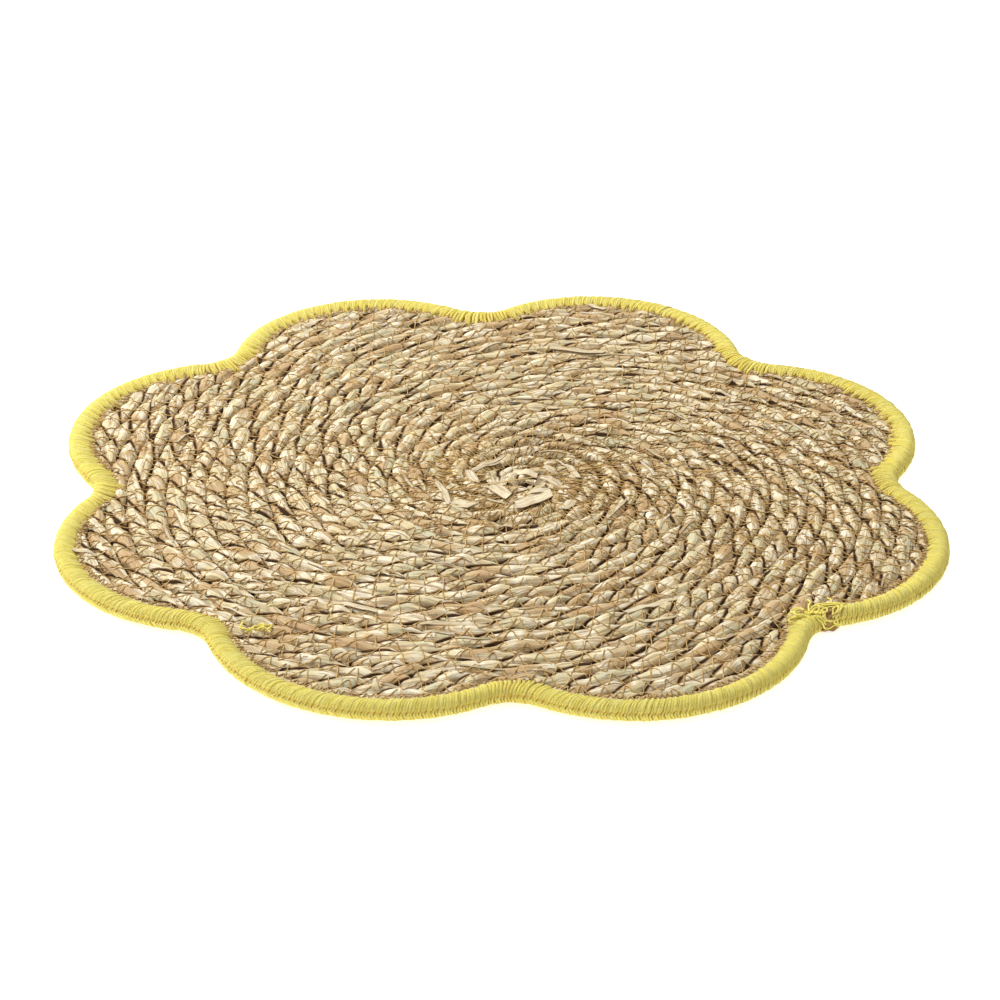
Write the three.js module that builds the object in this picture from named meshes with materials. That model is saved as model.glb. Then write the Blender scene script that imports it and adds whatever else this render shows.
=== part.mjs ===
// A scalloped placemat: one seagrass rope wound flat into a spiral, cut to eight round lobes and
// bound round its edge with yellow cotton yarn. Millimetres, +Z up, the mat's underside at z = 0.
// +X is to the right and +Y away from someone who sits at the table.

import * as THREE from 'three';

const FULL_TURN = 2 * Math.PI;
const radians = (degrees) => (degrees * Math.PI) / 180;

// Outline of the bound edge's outside. A row is one notch and the lobe that follows it, counted
// counterclockwise from +X: directions in degrees, distances from the middle in millimetres.
// Two neighbouring lobes would cross at the notch's reach, which the notch's round then fills.
const LOBES = [
  { notchAt: 3.3, notchReach: 162.6, tipAt: 25.0, tipReach: 189.0 },
  { notchAt: 47.3, notchReach: 158.6, tipAt: 70.5, tipReach: 191.3 },
  { notchAt: 93.0, notchReach: 159.0, tipAt: 116.5, tipReach: 188.8 },
  { notchAt: 137.5, notchReach: 161.2, tipAt: 160.0, tipReach: 189.4 },
  { notchAt: 183.3, notchReach: 162.8, tipAt: 206.0, tipReach: 188.9 },
  { notchAt: 226.1, notchReach: 162.6, tipAt: 249.5, tipReach: 186.2 },
  { notchAt: 272.4, notchReach: 161.1, tipAt: 295.0, tipReach: 187.6 },
  { notchAt: 318.8, notchReach: 162.3, tipAt: 341.0, tipReach: 189.3 },
];
const NOTCH_RADIUS = 18; // round of a notch, on the outside of the binding
const LOBE_STEPS = 14;
const NOTCH_STEPS = 4;

// Edge binding, as a section that opens towards the mat
const BINDING_WIDTH = 8.6;
const BINDING_HEIGHT = 9.2;
const BINDING_FOOT = 3.0; // width of the flat strip that it rests on
const LIP_EDGE = 0.5; // thickness of the upper lip at its inner edge, and lift of the lower one
const LIP_SHOULDER = 0.78; // where the upper lip starts to dip, as a share of the width
const POCKET_DEPTH = 6.0; // from the inner edge to the end of the pocket
const POCKET_LOW = 1.5;
const POCKET_HIGH = 7.3;
const ROUND_STEPS = 4; // steps in each quarter of the binding's round outside
const JOIN_GAP = 2.0; // between the binding's two ends
const JOIN_LOBE = 7; // the row of LOBES whose notch holds the join

// Coiled mat
const CLEARANCE = 0.3; // between the mat and the binding
const ROPE_TOP = 7.0;
const SEAM_TOP = 4.9; // bottom of the groove between two turns
const SAG = 0.25; // how far the top rises and falls over the mat
const SAG_ACROSS = { wave: 41, shift: 0.6 }; // millimetres in a radian of the rise and fall, and its start
const SAG_ALONG = { wave: 33, shift: -0.4 };
const COIL_X = 15.2; // where the coil starts, from the middle of the outline
const COIL_Y = 7.2;
const TURN_WIDTH = 7.9; // the rope's mean width across a turn
const TURN_WIDER_X = -0.355; // the turns lie closer on the right and at the back
const TURN_WIDER_Y = -0.506;
const COIL_PHASE = 0.38; // turn count at +X of the first ridge
const CORE_RADIUS = 2.2; // no ridge is modelled closer to the start than this
const RIM_MARGIN = 1.2; // least distance of a ridge point from the cut edge

const outside = LOBES.map((row, index) => lobeArc(row, LOBES[(index + 1) % LOBES.length]));
const notches = LOBES.map((_, index) => {
  const before = outside[(index + LOBES.length - 1) % LOBES.length];
  return notchArc(before, outside[index]);
});

function polarPoint(degrees, reach) {
  const angle = radians(degrees);
  return new THREE.Vector2(reach * Math.cos(angle), reach * Math.sin(angle));
}

// The circle through a lobe's two notches and its tip
function lobeArc(row, next) {
  const a = polarPoint(row.notchAt, row.notchReach);
  const b = polarPoint(row.tipAt, row.tipReach);
  const c = polarPoint(next.notchAt, next.notchReach);
  const twice = 2 * (a.x * (b.y - c.y) + b.x * (c.y - a.y) + c.x * (a.y - b.y));
  const [aa, bb, cc] = [a.lengthSq(), b.lengthSq(), c.lengthSq()];
  const centre = new THREE.Vector2(
    (aa * (b.y - c.y) + bb * (c.y - a.y) + cc * (a.y - b.y)) / twice,
    (aa * (c.x - b.x) + bb * (a.x - c.x) + cc * (b.x - a.x)) / twice,
  );
  return { centre, radius: centre.distanceTo(a) };
}

// The circle that rounds the notch between two lobes, touching both from outside
function notchArc(before, after) {
  const apart = before.centre.distanceTo(after.centre);
  const [r1, r2] = [before.radius + NOTCH_RADIUS, after.radius + NOTCH_RADIUS];
  const along = (r1 * r1 - r2 * r2 + apart * apart) / (2 * apart);
  const across = Math.sqrt(r1 * r1 - along * along);
  const direction = after.centre.clone().sub(before.centre).divideScalar(apart);
  const outward = new THREE.Vector2(direction.y, -direction.x);
  const centre = before.centre.clone().addScaledVector(direction, along).addScaledVector(outward, across);
  return { centre, radius: NOTCH_RADIUS };
}

const angleTo = (from, to) => Math.atan2(to.y - from.y, to.x - from.x);
const unwrap = (angle, start) => start + ((((angle - start) % FULL_TURN) + FULL_TURN) % FULL_TURN);

// Places along the outline, counterclockwise from the join: {base, normal} with the unit normal
// pointing outwards. Every offset of the outline has the same places.
function outlinePlaces() {
  const places = [];
  const add = (centre, angle, radius, sign) => {
    const ray = new THREE.Vector2(Math.cos(angle), Math.sin(angle));
    places.push({ base: centre.clone().addScaledVector(ray, radius), normal: ray.multiplyScalar(sign) });
  };
  for (let count = 0; count < LOBES.length; count += 1) {
    const index = (JOIN_LOBE + count) % LOBES.length;
    const [lobe, notch] = [outside[index], notches[index]];
    const before = outside[(index + LOBES.length - 1) % LOBES.length];
    const after = notches[(index + 1) % LOBES.length];
    const dipStart = angleTo(notch.centre, before.centre);
    const dipTurn = dipStart - unwrap(angleTo(notch.centre, lobe.centre), dipStart - Math.PI);
    for (let step = 0; step < NOTCH_STEPS; step += 1) {
      add(notch.centre, dipStart - (dipTurn * step) / NOTCH_STEPS, notch.radius, -1);
    }
    const start = angleTo(lobe.centre, notch.centre);
    const end = unwrap(angleTo(lobe.centre, after.centre), start);
    for (let step = 0; step < LOBE_STEPS; step += 1) {
      add(lobe.centre, start + ((end - start) * step) / LOBE_STEPS, lobe.radius, 1);
    }
  }
  // The join lies in the middle of its notch, so the list starts there
  const middle = NOTCH_STEPS / 2;
  return [...places.slice(middle), ...places.slice(0, middle)];
}

const PLACES = outlinePlaces();

const offsetPoint = (place, offset) => place.base.clone().addScaledVector(place.normal, offset);

function solid(name, positions, indices, material) {
  const geometry = new THREE.BufferGeometry();
  geometry.setAttribute('position', new THREE.Float32BufferAttribute(positions, 3));
  geometry.setIndex(indices);
  geometry.computeVertexNormals();
  const mesh = new THREE.Mesh(geometry, material);
  mesh.name = name;
  return mesh;
}

// A quarter of the binding's round, as points [offset from the outside edge, height]. The quarter
// starts at the angle from, and its middle lies inset further out than the binding's own.
function bindingRound(from, inset) {
  const [halfWidth, halfHeight] = [BINDING_WIDTH / 2, BINDING_HEIGHT / 2];
  return Array.from({ length: ROUND_STEPS + 1 }, (_, step) => {
    const angle = from + ((Math.PI / 2) * step) / ROUND_STEPS;
    const offset = inset - halfWidth + (halfWidth - inset) * Math.cos(angle);
    return [offset, halfHeight * (1 + Math.sin(angle))];
  });
}

// Section of the binding, from the lower lip's inner edge round the outside and back along the pocket
function bindingSection() {
  const foot = BINDING_FOOT / 2;
  const pocketEnd = POCKET_DEPTH - BINDING_WIDTH;
  const topQuarter = bindingRound(0, 0).slice(1); // its first point ends the quarter below it
  return [
    [-BINDING_WIDTH, LIP_EDGE],
    [-BINDING_WIDTH / 2 - foot, 0],
    ...bindingRound(-Math.PI / 2, foot),
    ...topQuarter,
    [-BINDING_WIDTH * LIP_SHOULDER, BINDING_HEIGHT - LIP_EDGE],
    [-BINDING_WIDTH, POCKET_HIGH + LIP_EDGE],
    [-BINDING_WIDTH, POCKET_HIGH],
    [pocketEnd, POCKET_HIGH],
    [pocketEnd, POCKET_LOW],
    [-BINDING_WIDTH, POCKET_LOW],
  ];
}

// The binding runs all the way round from the join and stops short of it by the gap
function edgeBinding() {
  const section = bindingSection();
  const [first, second] = [PLACES[0], PLACES[1]];
  const stepLength = first.base.distanceTo(second.base);
  const share = JOIN_GAP / 2 / stepLength;
  const start = between(first, second, share);
  const end = between(first, PLACES[PLACES.length - 1], share);
  const stations = [start, ...PLACES.slice(1), end];
  const positions = [];
  const indices = [];
  stations.forEach((place) => {
    section.forEach(([offset, height]) => {
      const point = offsetPoint(place, offset);
      positions.push(point.x, point.y, height);
    });
  });
  const size = section.length;
  for (let station = 0; station < stations.length - 1; station += 1) {
    for (let k = 0; k < size; k += 1) {
      const [a, b] = [station * size + k, station * size + ((k + 1) % size)];
      indices.push(a, b + size, b, a, a + size, b + size);
    }
  }
  const shape = section.map(([offset, height]) => new THREE.Vector2(offset, height));
  const caps = THREE.ShapeUtils.triangulateShape(shape, []);
  const last = (stations.length - 1) * size;
  caps.forEach(([a, b, c]) => {
    indices.push(a, b, c);
    indices.push(last + a, last + c, last + b);
  });
  return solid('edge_binding', positions, indices, YELLOW_COTTON);
}

function between(place, other, share) {
  return {
    base: place.base.clone().lerp(other.base, share),
    normal: place.normal.clone().lerp(other.normal, share).normalize(),
  };
}

const turnWidth = (angle) => TURN_WIDTH + TURN_WIDER_X * Math.cos(angle) + TURN_WIDER_Y * Math.sin(angle);

const swell = (distance, { wave, shift }) => distance / wave + shift;

// Slow rise and fall of the top, as on a mat that has been rolled and laid out again
const sag = (x, y) => SAG * Math.sin(swell(x, SAG_ACROSS)) * Math.cos(swell(y, SAG_ALONG));

// Ridges and grooves by turns along a ray from the coil's start to the target on the cut edge.
// turned is the angle that the spiral has run through since the first of the rays.
function ray(target, turned) {
  const angle = Math.atan2(target.y - COIL_Y, target.x - COIL_X);
  const direction = new THREE.Vector2(Math.cos(angle), Math.sin(angle));
  const width = turnWidth(angle);
  const reach = Math.hypot(target.x - COIL_X, target.y - COIL_Y);
  const points = [];
  const offset = COIL_PHASE + turned / FULL_TURN;
  const firstHalf = Math.ceil((CORE_RADIUS / width - offset) * 2);
  for (let half = firstHalf; width * (half / 2 + offset) < reach - RIM_MARGIN; half += 1) {
    const distance = width * (half / 2 + offset);
    const [x, y] = [COIL_X + direction.x * distance, COIL_Y + direction.y * distance];
    const isRidge = half % 2 === 0;
    points.push({ half, x, y, z: (isRidge ? ROPE_TOP - SAG : SEAM_TOP - SAG) + sag(x, y) });
  }
  return points;
}

function coilMat() {
  const edgeOffset = -BINDING_WIDTH + POCKET_DEPTH - CLEARANCE;
  const innerOffset = -BINDING_WIDTH - CLEARANCE;
  const underLip = POCKET_LOW + CLEARANCE;
  const positions = [];
  const indices = [];
  const vertex = (x, y, z) => positions.push(x, y, z) / 3 - 1;
  const edgeHeight = (ROPE_TOP + SEAM_TOP) / 2 - SAG;
  const rim = PLACES.map((place) => offsetPoint(place, edgeOffset));
  const rimAngle = rim.map((p) => Math.atan2(p.y - COIL_Y, p.x - COIL_X));
  const rimTop = rim.map((p) => vertex(p.x, p.y, edgeHeight));
  const rimLow = rim.map((p) => vertex(p.x, p.y, underLip));
  const lip = PLACES.map((place) => offsetPoint(place, innerOffset));
  const lipHigh = lip.map((p) => vertex(p.x, p.y, underLip));
  const foot = lip.map((p) => vertex(p.x, p.y, 0));
  const count = rim.length;
  const core = vertex(COIL_X, COIL_Y, ROPE_TOP - SAG);
  const underneath = vertex(COIL_X, COIL_Y, 0);

  // Chains run from the core to every second place of the rim
  const chains = [];
  for (let place = 0; place < count; place += 2) {
    const turned = unwrap(rimAngle[place], rimAngle[0]);
    const chain = ray(rim[place], turned).map((p) => ({ half: p.half, at: vertex(p.x, p.y, p.z) }));
    chains.push({ place, chain });
  }
  for (let index = 0; index < chains.length; index += 1) {
    const here = chains[index];
    const next = chains[(index + 1) % chains.length];
    const gained = index + 1 === chains.length ? 2 : 0;
    const there = next.chain.map(({ half, at }) => ({ half: half - gained, at }));
    stitch(indices, core, here.chain, there);
    const lastHere = here.chain[here.chain.length - 1].at;
    const lastThere = there[there.length - 1].at;
    const middle = here.place + 1;
    indices.push(lastHere, rimTop[here.place], rimTop[middle]);
    indices.push(lastHere, rimTop[middle], lastThere);
    indices.push(lastThere, rimTop[middle], rimTop[next.place]);
  }
  for (let place = 0; place < count; place += 1) {
    const next = (place + 1) % count;
    indices.push(rimTop[place], rimLow[place], rimLow[next], rimTop[place], rimLow[next], rimTop[next]);
    indices.push(rimLow[place], lipHigh[place], lipHigh[next], rimLow[place], lipHigh[next], rimLow[next]);
    indices.push(lipHigh[place], foot[place], foot[next], lipHigh[place], foot[next], lipHigh[next]);
    indices.push(underneath, foot[next], foot[place]);
  }
  return solid('coil_mat', positions, indices, SEAGRASS);
}

// Joins two neighbouring chains with triangles, each time taking the chain that is further behind
function stitch(indices, core, here, there) {
  let [a, b] = [0, 0];
  indices.push(core, here[0].at, there[0].at);
  while (a < here.length - 1 || b < there.length - 1) {
    const canA = a < here.length - 1;
    const canB = b < there.length - 1;
    const takeA = canA && (!canB || here[a + 1].half <= there[b + 1].half);
    if (takeA) {
      indices.push(here[a].at, here[a + 1].at, there[b].at);
      a += 1;
    } else {
      indices.push(here[a].at, there[b + 1].at, there[b].at);
      b += 1;
    }
  }
}

const SEAGRASS = new THREE.MeshStandardMaterial({ color: 0xc8ae80, roughness: 0.8, metalness: 0 });
const YELLOW_COTTON = new THREE.MeshStandardMaterial({ color: 0xeadb58, roughness: 0.85, metalness: 0 });

const placemat = new THREE.Group();
placemat.add(coilMat(), edgeBinding());
// The origin is under the middle of the whole mat's length and width
const middle = new THREE.Box3().setFromObject(placemat).getCenter(new THREE.Vector3());
placemat.position.set(-middle.x, -middle.y, 0);

export default placemat;
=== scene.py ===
"""Looks of a scalloped placemat: one seagrass rope wound flat and sewn, with a yellow bound edge.

All lengths are in metres in the row frame, +Z up. MM turns a size in millimetres into metres.
"""

from __future__ import annotations

import logging
import math
from collections.abc import Mapping, Sequence
from dataclasses import dataclass, field
from enum import Enum
from functools import cached_property
from typing import NamedTuple

import bmesh
import bpy
import numpy as np
from bpy.types import ColorRamp, Material, Mesh, Node, NodeSocket, NodeTree, Object
from mathutils import Matrix, Vector

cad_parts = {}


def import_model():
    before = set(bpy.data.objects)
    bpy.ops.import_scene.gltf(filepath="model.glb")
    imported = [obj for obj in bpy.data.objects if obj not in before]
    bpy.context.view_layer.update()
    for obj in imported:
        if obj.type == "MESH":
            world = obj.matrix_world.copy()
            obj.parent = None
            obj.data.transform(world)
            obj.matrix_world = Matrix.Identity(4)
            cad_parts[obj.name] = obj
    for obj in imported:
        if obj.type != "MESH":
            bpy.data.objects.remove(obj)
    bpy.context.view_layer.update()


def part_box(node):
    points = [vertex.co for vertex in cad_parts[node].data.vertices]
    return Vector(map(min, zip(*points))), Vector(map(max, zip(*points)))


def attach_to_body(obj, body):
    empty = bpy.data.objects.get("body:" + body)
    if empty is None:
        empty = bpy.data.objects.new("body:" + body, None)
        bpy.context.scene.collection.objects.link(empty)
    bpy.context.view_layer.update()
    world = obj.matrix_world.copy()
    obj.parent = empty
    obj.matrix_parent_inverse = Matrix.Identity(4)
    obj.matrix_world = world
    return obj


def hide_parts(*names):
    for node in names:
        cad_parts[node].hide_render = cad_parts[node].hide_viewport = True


LOG = logging.getLogger("placemat")
MM = 0.001
FULL_TURN = 2 * math.pi
BODY = "root"
# A curve is let down onto the rope from this height
DROP_FROM = 20 * MM
# How far a point of a thread faces outwards where painted shade on its flank starts and where it is
# darkest
FLANK_FREE = 0.85
FLANK_DEEP = 0.35
FLANK_SHADE = 0.52
SOCKET_KINDS = {float: "NodeSocketFloat", int: "NodeSocketInt"}

Colour = tuple[float, float, float, float]
Stops = tuple[tuple[float, Colour], ...]
Pair = tuple[float, float]
Point = tuple[float, float, float]
Rows = np.ndarray


def srgb(red: float, green: float, blue: float) -> Colour:
    """A colour as a screen shows it, 0 to 255, turned into the linear one that a shader takes.

    Args:
        red: Red, 0 to 255.
        green: Green, likewise.
        blue: Blue, likewise.

    Returns:
        The linear colour.
    """
    shares = (red / 255, green / 255, blue / 255)
    linear = (s / 12.92 if s <= 0.04045 else ((s + 0.055) / 1.055) ** 2.4 for s in shares)
    return (*linear, 1.0)


def smoothstep(low: float, high: float, value: Rows) -> Rows:
    """Rises softly from 0 at low to 1 at high."""
    share = np.clip((value - low) / (high - low), 0, 1)
    return share * share * (3 - 2 * share)


class Wander(NamedTuple):
    """A smooth random course: how far it strays, the distance between free values, and its seed."""

    reach: float
    every: float
    seed: int

    def at(self, along: Rows) -> Rows:
        """The course at distances in metres, from -reach to reach.

        Args:
            along: Distances in metres.

        Returns:
            Values from -reach to reach.
        """
        count = int(np.max(along) / self.every) + 3
        knots = np.random.default_rng(self.seed).uniform(-1, 1, count)
        place = along / self.every
        left = np.floor(place).astype(int)
        share = smoothstep(0, 1, place - left)
        return self.reach * (knots[left] * (1 - share) + knots[left + 1] * share)


# Node trees


class Value:
    """A socket in a node tree. Sums on it add the nodes that work them out."""

    def __init__(self, graph: Graph, socket: NodeSocket) -> None:
        """Wraps one output socket of the graph's tree."""
        self.graph = graph
        self.socket = socket

    @property
    def is_vector(self) -> bool:
        """Whether the socket carries three numbers."""
        return self.socket.type == "VECTOR"

    def __add__(self, other: Term) -> Value:
        """Adds a term."""
        return self.graph.join("ADD", self, other)

    def __radd__(self, other: Term) -> Value:
        """Is added to a plain term."""
        return self.graph.join("ADD", other, self)

    def __sub__(self, other: Term) -> Value:
        """Takes a term off."""
        return self.graph.join("SUBTRACT", self, other)

    def __rsub__(self, other: Term) -> Value:
        """Is taken off a plain term."""
        return self.graph.join("SUBTRACT", other, self)

    def __mul__(self, other: Term) -> Value:
        """Multiplies by a term."""
        return self.graph.join("MULTIPLY", self, other)

    def __rmul__(self, other: Term) -> Value:
        """Multiplies a plain term."""
        return self.graph.join("MULTIPLY", other, self)

    def __truediv__(self, other: Term) -> Value:
        """Divides by a term."""
        return self.graph.join("DIVIDE", self, other)

    def __mod__(self, other: Term) -> Value:
        """The rest after whole steps of a term are taken off."""
        return self.graph.join("FLOORED_MODULO", self, other)

    def sine(self) -> Value:
        """Sine of an angle in radians."""
        return self.graph.join("SINE", self)

    def cosine(self) -> Value:
        """Cosine of an angle in radians."""
        return self.graph.join("COSINE", self)

    def floor(self) -> Value:
        """The whole number below."""
        return self.graph.join("FLOOR", self)

    def unsigned(self) -> Value:
        """The value without its sign."""
        return self.graph.join("ABSOLUTE", self)

    def above(self, other: Term) -> Value:
        """1 where the value is greater than the term, otherwise 0."""
        return self.graph.join("GREATER_THAN", self, other)

    def at_most(self, other: Term) -> Value:
        """The smaller of the value and a term."""
        return self.graph.join("MINIMUM", self, other)

    def at_least(self, other: Term) -> Value:
        """The greater of the value and a term."""
        return self.graph.join("MAXIMUM", self, other)

    def rise(self, low: float, high: float) -> Value:
        """Softly from 0 at low to 1 at high, which may be the smaller of the two.

        Args:
            low: Where it leaves 0.
            high: Where it gets to 1.

        Returns:
            The share.
        """
        inputs = {"Value": self, "From Min": low, "From Max": high}
        settings = {"interpolation_type": "SMOOTHSTEP"}
        return self.graph.value("ShaderNodeMapRange", inputs, settings)

    def toward(self, other: Term, share: Term) -> Value:
        """Goes from the value to a term by a share."""
        return self + (other - self) * share


Term = Value | float


class Graph:
    """A node tree and the ways to add to it."""

    def __init__(self, tree: NodeTree) -> None:
        """Starts on a tree that is empty, or has only its end."""
        self.tree = tree

    def node(
        self,
        kind: str,
        inputs: Mapping[str | int, object] | None = None,
        settings: Mapping[str, object] | None = None,
    ) -> Node:
        """Adds a node.

        Args:
            kind: The node's type.
            inputs: A value or a link for each of its sockets, by name or number.
            settings: Its settings, which are set before the sockets. stops are a ramp's stops.

        Returns:
            The new node.
        """
        node = self.tree.nodes.new(kind)
        for name, setting in (settings or {}).items():
            if name == "stops":
                self._set_stops(node.color_ramp, setting)
            else:
                setattr(node, name, setting)
        for name, term in (inputs or {}).items():
            if isinstance(term, Value):
                self.tree.links.new(term.socket, node.inputs[name])
            else:
                node.inputs[name].default_value = term
        return node

    @staticmethod
    def _set_stops(ramp: ColorRamp, stops: Stops) -> None:
        """Gives a ramp its stops, as pairs of place and colour."""
        while len(ramp.elements) < len(stops):
            ramp.elements.new(1.0)
        for element, (place, colour) in zip(ramp.elements, stops):
            element.position = place
            element.color = colour

    def value(
        self,
        kind: str,
        inputs: Mapping[str | int, object] | None = None,
        settings: Mapping[str, object] | None = None,
        output: str | int = 0,
    ) -> Value:
        """Adds a node, as node() does, and gives one of its outputs."""
        return Value(self, self.node(kind, inputs, settings).outputs[output])

    def join(self, operation: str, *terms: Term) -> Value:
        """Works out one operation, with vector maths where a term is a vector.

        Args:
            operation: The name that Math and Vector Math give it.
            terms: One or two values or numbers.

        Returns:
            The result.
        """
        vectors = [isinstance(term, Value) and term.is_vector for term in terms]
        if not any(vectors):
            return self.value("ShaderNodeMath", dict(enumerate(terms)), {"operation": operation})
        kind = "ShaderNodeVectorMath"
        if all(vectors):
            return self.value(kind, dict(enumerate(terms)), {"operation": operation})
        vector, scale = terms if vectors[0] else reversed(terms)
        return self.value(kind, {"Vector": vector, "Scale": scale}, {"operation": "SCALE"})

    def vector(self, x: Term, y: Term, z: Term) -> Value:
        """Three values as one vector."""
        return self.value("ShaderNodeCombineXYZ", {"X": x, "Y": y, "Z": z})

    def part(self, vector: Value, axis: str) -> Value:
        """One of a vector's three values, by the axis's letter."""
        return self.value("ShaderNodeSeparateXYZ", {"Vector": vector}, output=axis)

    def noise(self, place: Value, detail: float = 1.0, roughness: float = 0.5) -> Value:
        """Soft noise of grain 1, from about 0 to 1.

        Args:
            place: Where it is read, in grains.
            detail: Number of finer layers.
            roughness: Strength of each finer layer.

        Returns:
            The noise.
        """
        inputs = {"Vector": place, "Scale": 1.0, "Detail": detail, "Roughness": roughness}
        found = self.value("ShaderNodeTexNoise", inputs)
        return found.rise(0.25, 0.75)


class Paint(Graph):
    """A material's node tree."""

    def __init__(self, name: str) -> None:
        """Makes the material with its shader and nothing linked to it.

        Args:
            name: The material's name.
        """
        self.material = bpy.data.materials.new(name)
        self.material.use_nodes = True
        super().__init__(self.material.node_tree)
        self.shader = self.tree.nodes["Principled BSDF"]

    def attribute(self, name: str) -> Value:
        """A number that the mesh carries at each point."""
        return self.value("ShaderNodeAttribute", None, {"attribute_name": name}, "Fac")

    def place(self) -> Value:
        """The point itself, in metres in the row frame."""
        return self.value("ShaderNodeTexCoord", output="Object")

    def mix(self, share: Term, first: Value | Colour, second: Value | Colour) -> Value:
        """Goes from one colour to another by a share."""
        inputs = {0: share, 6: first, 7: second}
        return self.value("ShaderNodeMix", inputs, {"data_type": "RGBA"}, 2)

    def ramp(self, share: Value, stops: Stops) -> Value:
        """A colour for each value from 0 to 1."""
        return self.value("ShaderNodeValToRGB", {0: share}, {"stops": stops})

    def feed(self, **terms: Value | float | Colour) -> None:
        """Gives the shader's sockets their values or links, by names with _ for a space."""
        for name, term in terms.items():
            socket = self.shader.inputs[name.replace("_", " ")]
            if isinstance(term, Value):
                self.tree.links.new(term.socket, socket)
            else:
                socket.default_value = term

    def bump(self, height: Value, depth: float) -> None:
        """Raises the surface's look by a height from 0 to 1 that is worth depth metres."""
        inputs = {"Height": height, "Distance": depth, "Strength": 1.0}
        self.feed(Normal=self.value("ShaderNodeBump", inputs))


class Shape(Graph):
    """A geometry node tree whose named inputs are sizes of the piece's maker."""

    def __init__(self, name: str, maker: object, **others: float | int | Object) -> None:
        """Makes the tree with nothing but its geometry input and output.

        Args:
            name: The tree's name.
            maker: The dataclass whose sizes the tree may take.
            others: More sizes and objects, which come first.
        """
        super().__init__(bpy.data.node_groups.new(name, "GeometryNodeTree"))
        self.choice = {**vars(maker), **others}
        self.sizes: dict[str, float | int | Object] = {}
        for side in ("INPUT", "OUTPUT"):
            self.tree.interface.new_socket("Geometry", in_out=side, socket_type="NodeSocketGeometry")

    def source(self) -> Value:
        """The mesh that the tree starts from."""
        return self.value("NodeGroupInput", output="Geometry")

    def size(self, name: str) -> Value:
        """A size or an object by its name, which becomes the name of an input.

        Args:
            name: The size's name.

        Returns:
            The input's value.
        """
        if name not in self.sizes:
            self.sizes[name] = self.choice[name]
            kind = SOCKET_KINDS.get(type(self.choice[name]), "NodeSocketObject")
            self.tree.interface.new_socket(name, in_out="INPUT", socket_type=kind)
        return self.value("NodeGroupInput", output=name)

    def attribute(self, name: str, kind: str = "FLOAT") -> Value:
        """A value that the geometry carries at each point."""
        return self.value("GeometryNodeInputNamedAttribute", {"Name": name}, {"data_type": kind})

    def kept(self, geometry: Value, value: Value, domain: str = "POINT") -> tuple[Value, Value]:
        """Ties a value to the geometry's points as they are now.

        Args:
            geometry: What carries it.
            value: The value that is worked out here.
            domain: What carries it, such as POINT or CURVE.

        Returns:
            The geometry with the value on it, and the value to use later on.
        """
        kind = "VECTOR" if value.is_vector else "FLOAT"
        node = self.node("GeometryNodeCaptureAttribute", None, {"domain": domain})
        node.capture_items.new(kind, "Value")
        self.tree.links.new(geometry.socket, node.inputs["Geometry"])
        self.tree.links.new(value.socket, node.inputs["Value"])
        return Value(self, node.outputs["Geometry"]), Value(self, node.outputs["Value"])

    def stored(self, geometry: Value, name: str, value: Value) -> Value:
        """The geometry with a named number at each point, which its material reads."""
        inputs = {"Geometry": geometry, "Name": name, "Value": value}
        return self.value("GeometryNodeStoreNamedAttribute", inputs, {"data_type": "FLOAT"})

    def index(self) -> Value:
        """The number of a point."""
        return self.value("GeometryNodeInputIndex")

    def position(self) -> Value:
        """The place of a point."""
        return self.value("GeometryNodeInputPosition")

    def random(self, limits: Pair, number: Value, seed: int) -> Value:
        """A random value between two limits that belongs to a number."""
        inputs = {2: limits[0], 3: limits[1], "ID": number, "Seed": seed}
        return self.value("FunctionNodeRandomValue", inputs, {"data_type": "FLOAT"}, 1)

    def moved(self, geometry: Value, position: Value) -> Value:
        """The geometry with its points at the given places."""
        inputs = {"Geometry": geometry, "Position": position}
        return self.value("GeometryNodeSetPosition", inputs)

    def higher(self, height: Term) -> Value:
        """The place of a point, raised by a height."""
        return self.position() + self.vector(0.0, 0.0, height)

    def curve(self, mesh: Value) -> Value:
        """The mesh's edges as curves."""
        return self.value("GeometryNodeMeshToCurve", {"Mesh": mesh})

    def laid(self, line: Value, blur: int) -> Value:
        """Lets a curve down onto the object named bed in the tree's sizes.

        Args:
            line: The curve, level with the table.
            blur: How often neighbouring heights are evened out, which bridges what is narrow.

        Returns:
            The curve on the object.
        """
        high = self.moved(line, self.higher(DROP_FROM))
        held = self.value("GeometryNodeObjectInfo", {"Object": self.size("bed")}, output="Geometry")
        inputs = {
            "Target Geometry": held,
            "Source Position": self.position(),
            "Ray Direction": (0.0, 0.0, -1.0),
            "Ray Length": 1.0,
        }
        hit = self.value("GeometryNodeRaycast", inputs, output="Hit Position")
        high, height = self.kept(high, self.part(hit, "Z"))
        inputs = {0: height, "Iterations": blur}
        even = self.value("GeometryNodeBlurAttribute", inputs, {"data_type": "FLOAT"})
        high, even = self.kept(high, even)
        plan = self.position()
        level = self.vector(self.part(plan, "X"), self.part(plan, "Y"), height.at_least(even))
        return self.moved(high, level)

    def swept(
        self, line: Value, corners: Term, radius: float = MM, scale: Term = 1.0
    ) -> tuple[Value, Value]:
        """A capped body along a curve, with a ring of corners as its section.

        Args:
            line: The curve.
            corners: Number of corners in the ring.
            radius: The ring's radius.
            scale: Makes the ring larger or smaller along the curve.

        Returns:
            The body, and the number of the corner that each of its points comes from.
        """
        inputs = {"Resolution": corners, "Radius": radius}
        ring = self.value("GeometryNodeCurvePrimitiveCircle", inputs)
        ring, corner = self.kept(ring, self.index())
        inputs = {"Curve": line, "Profile Curve": ring, "Fill Caps": True, "Scale": scale}
        return self.value("GeometryNodeCurveToMesh", inputs), corner

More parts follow.
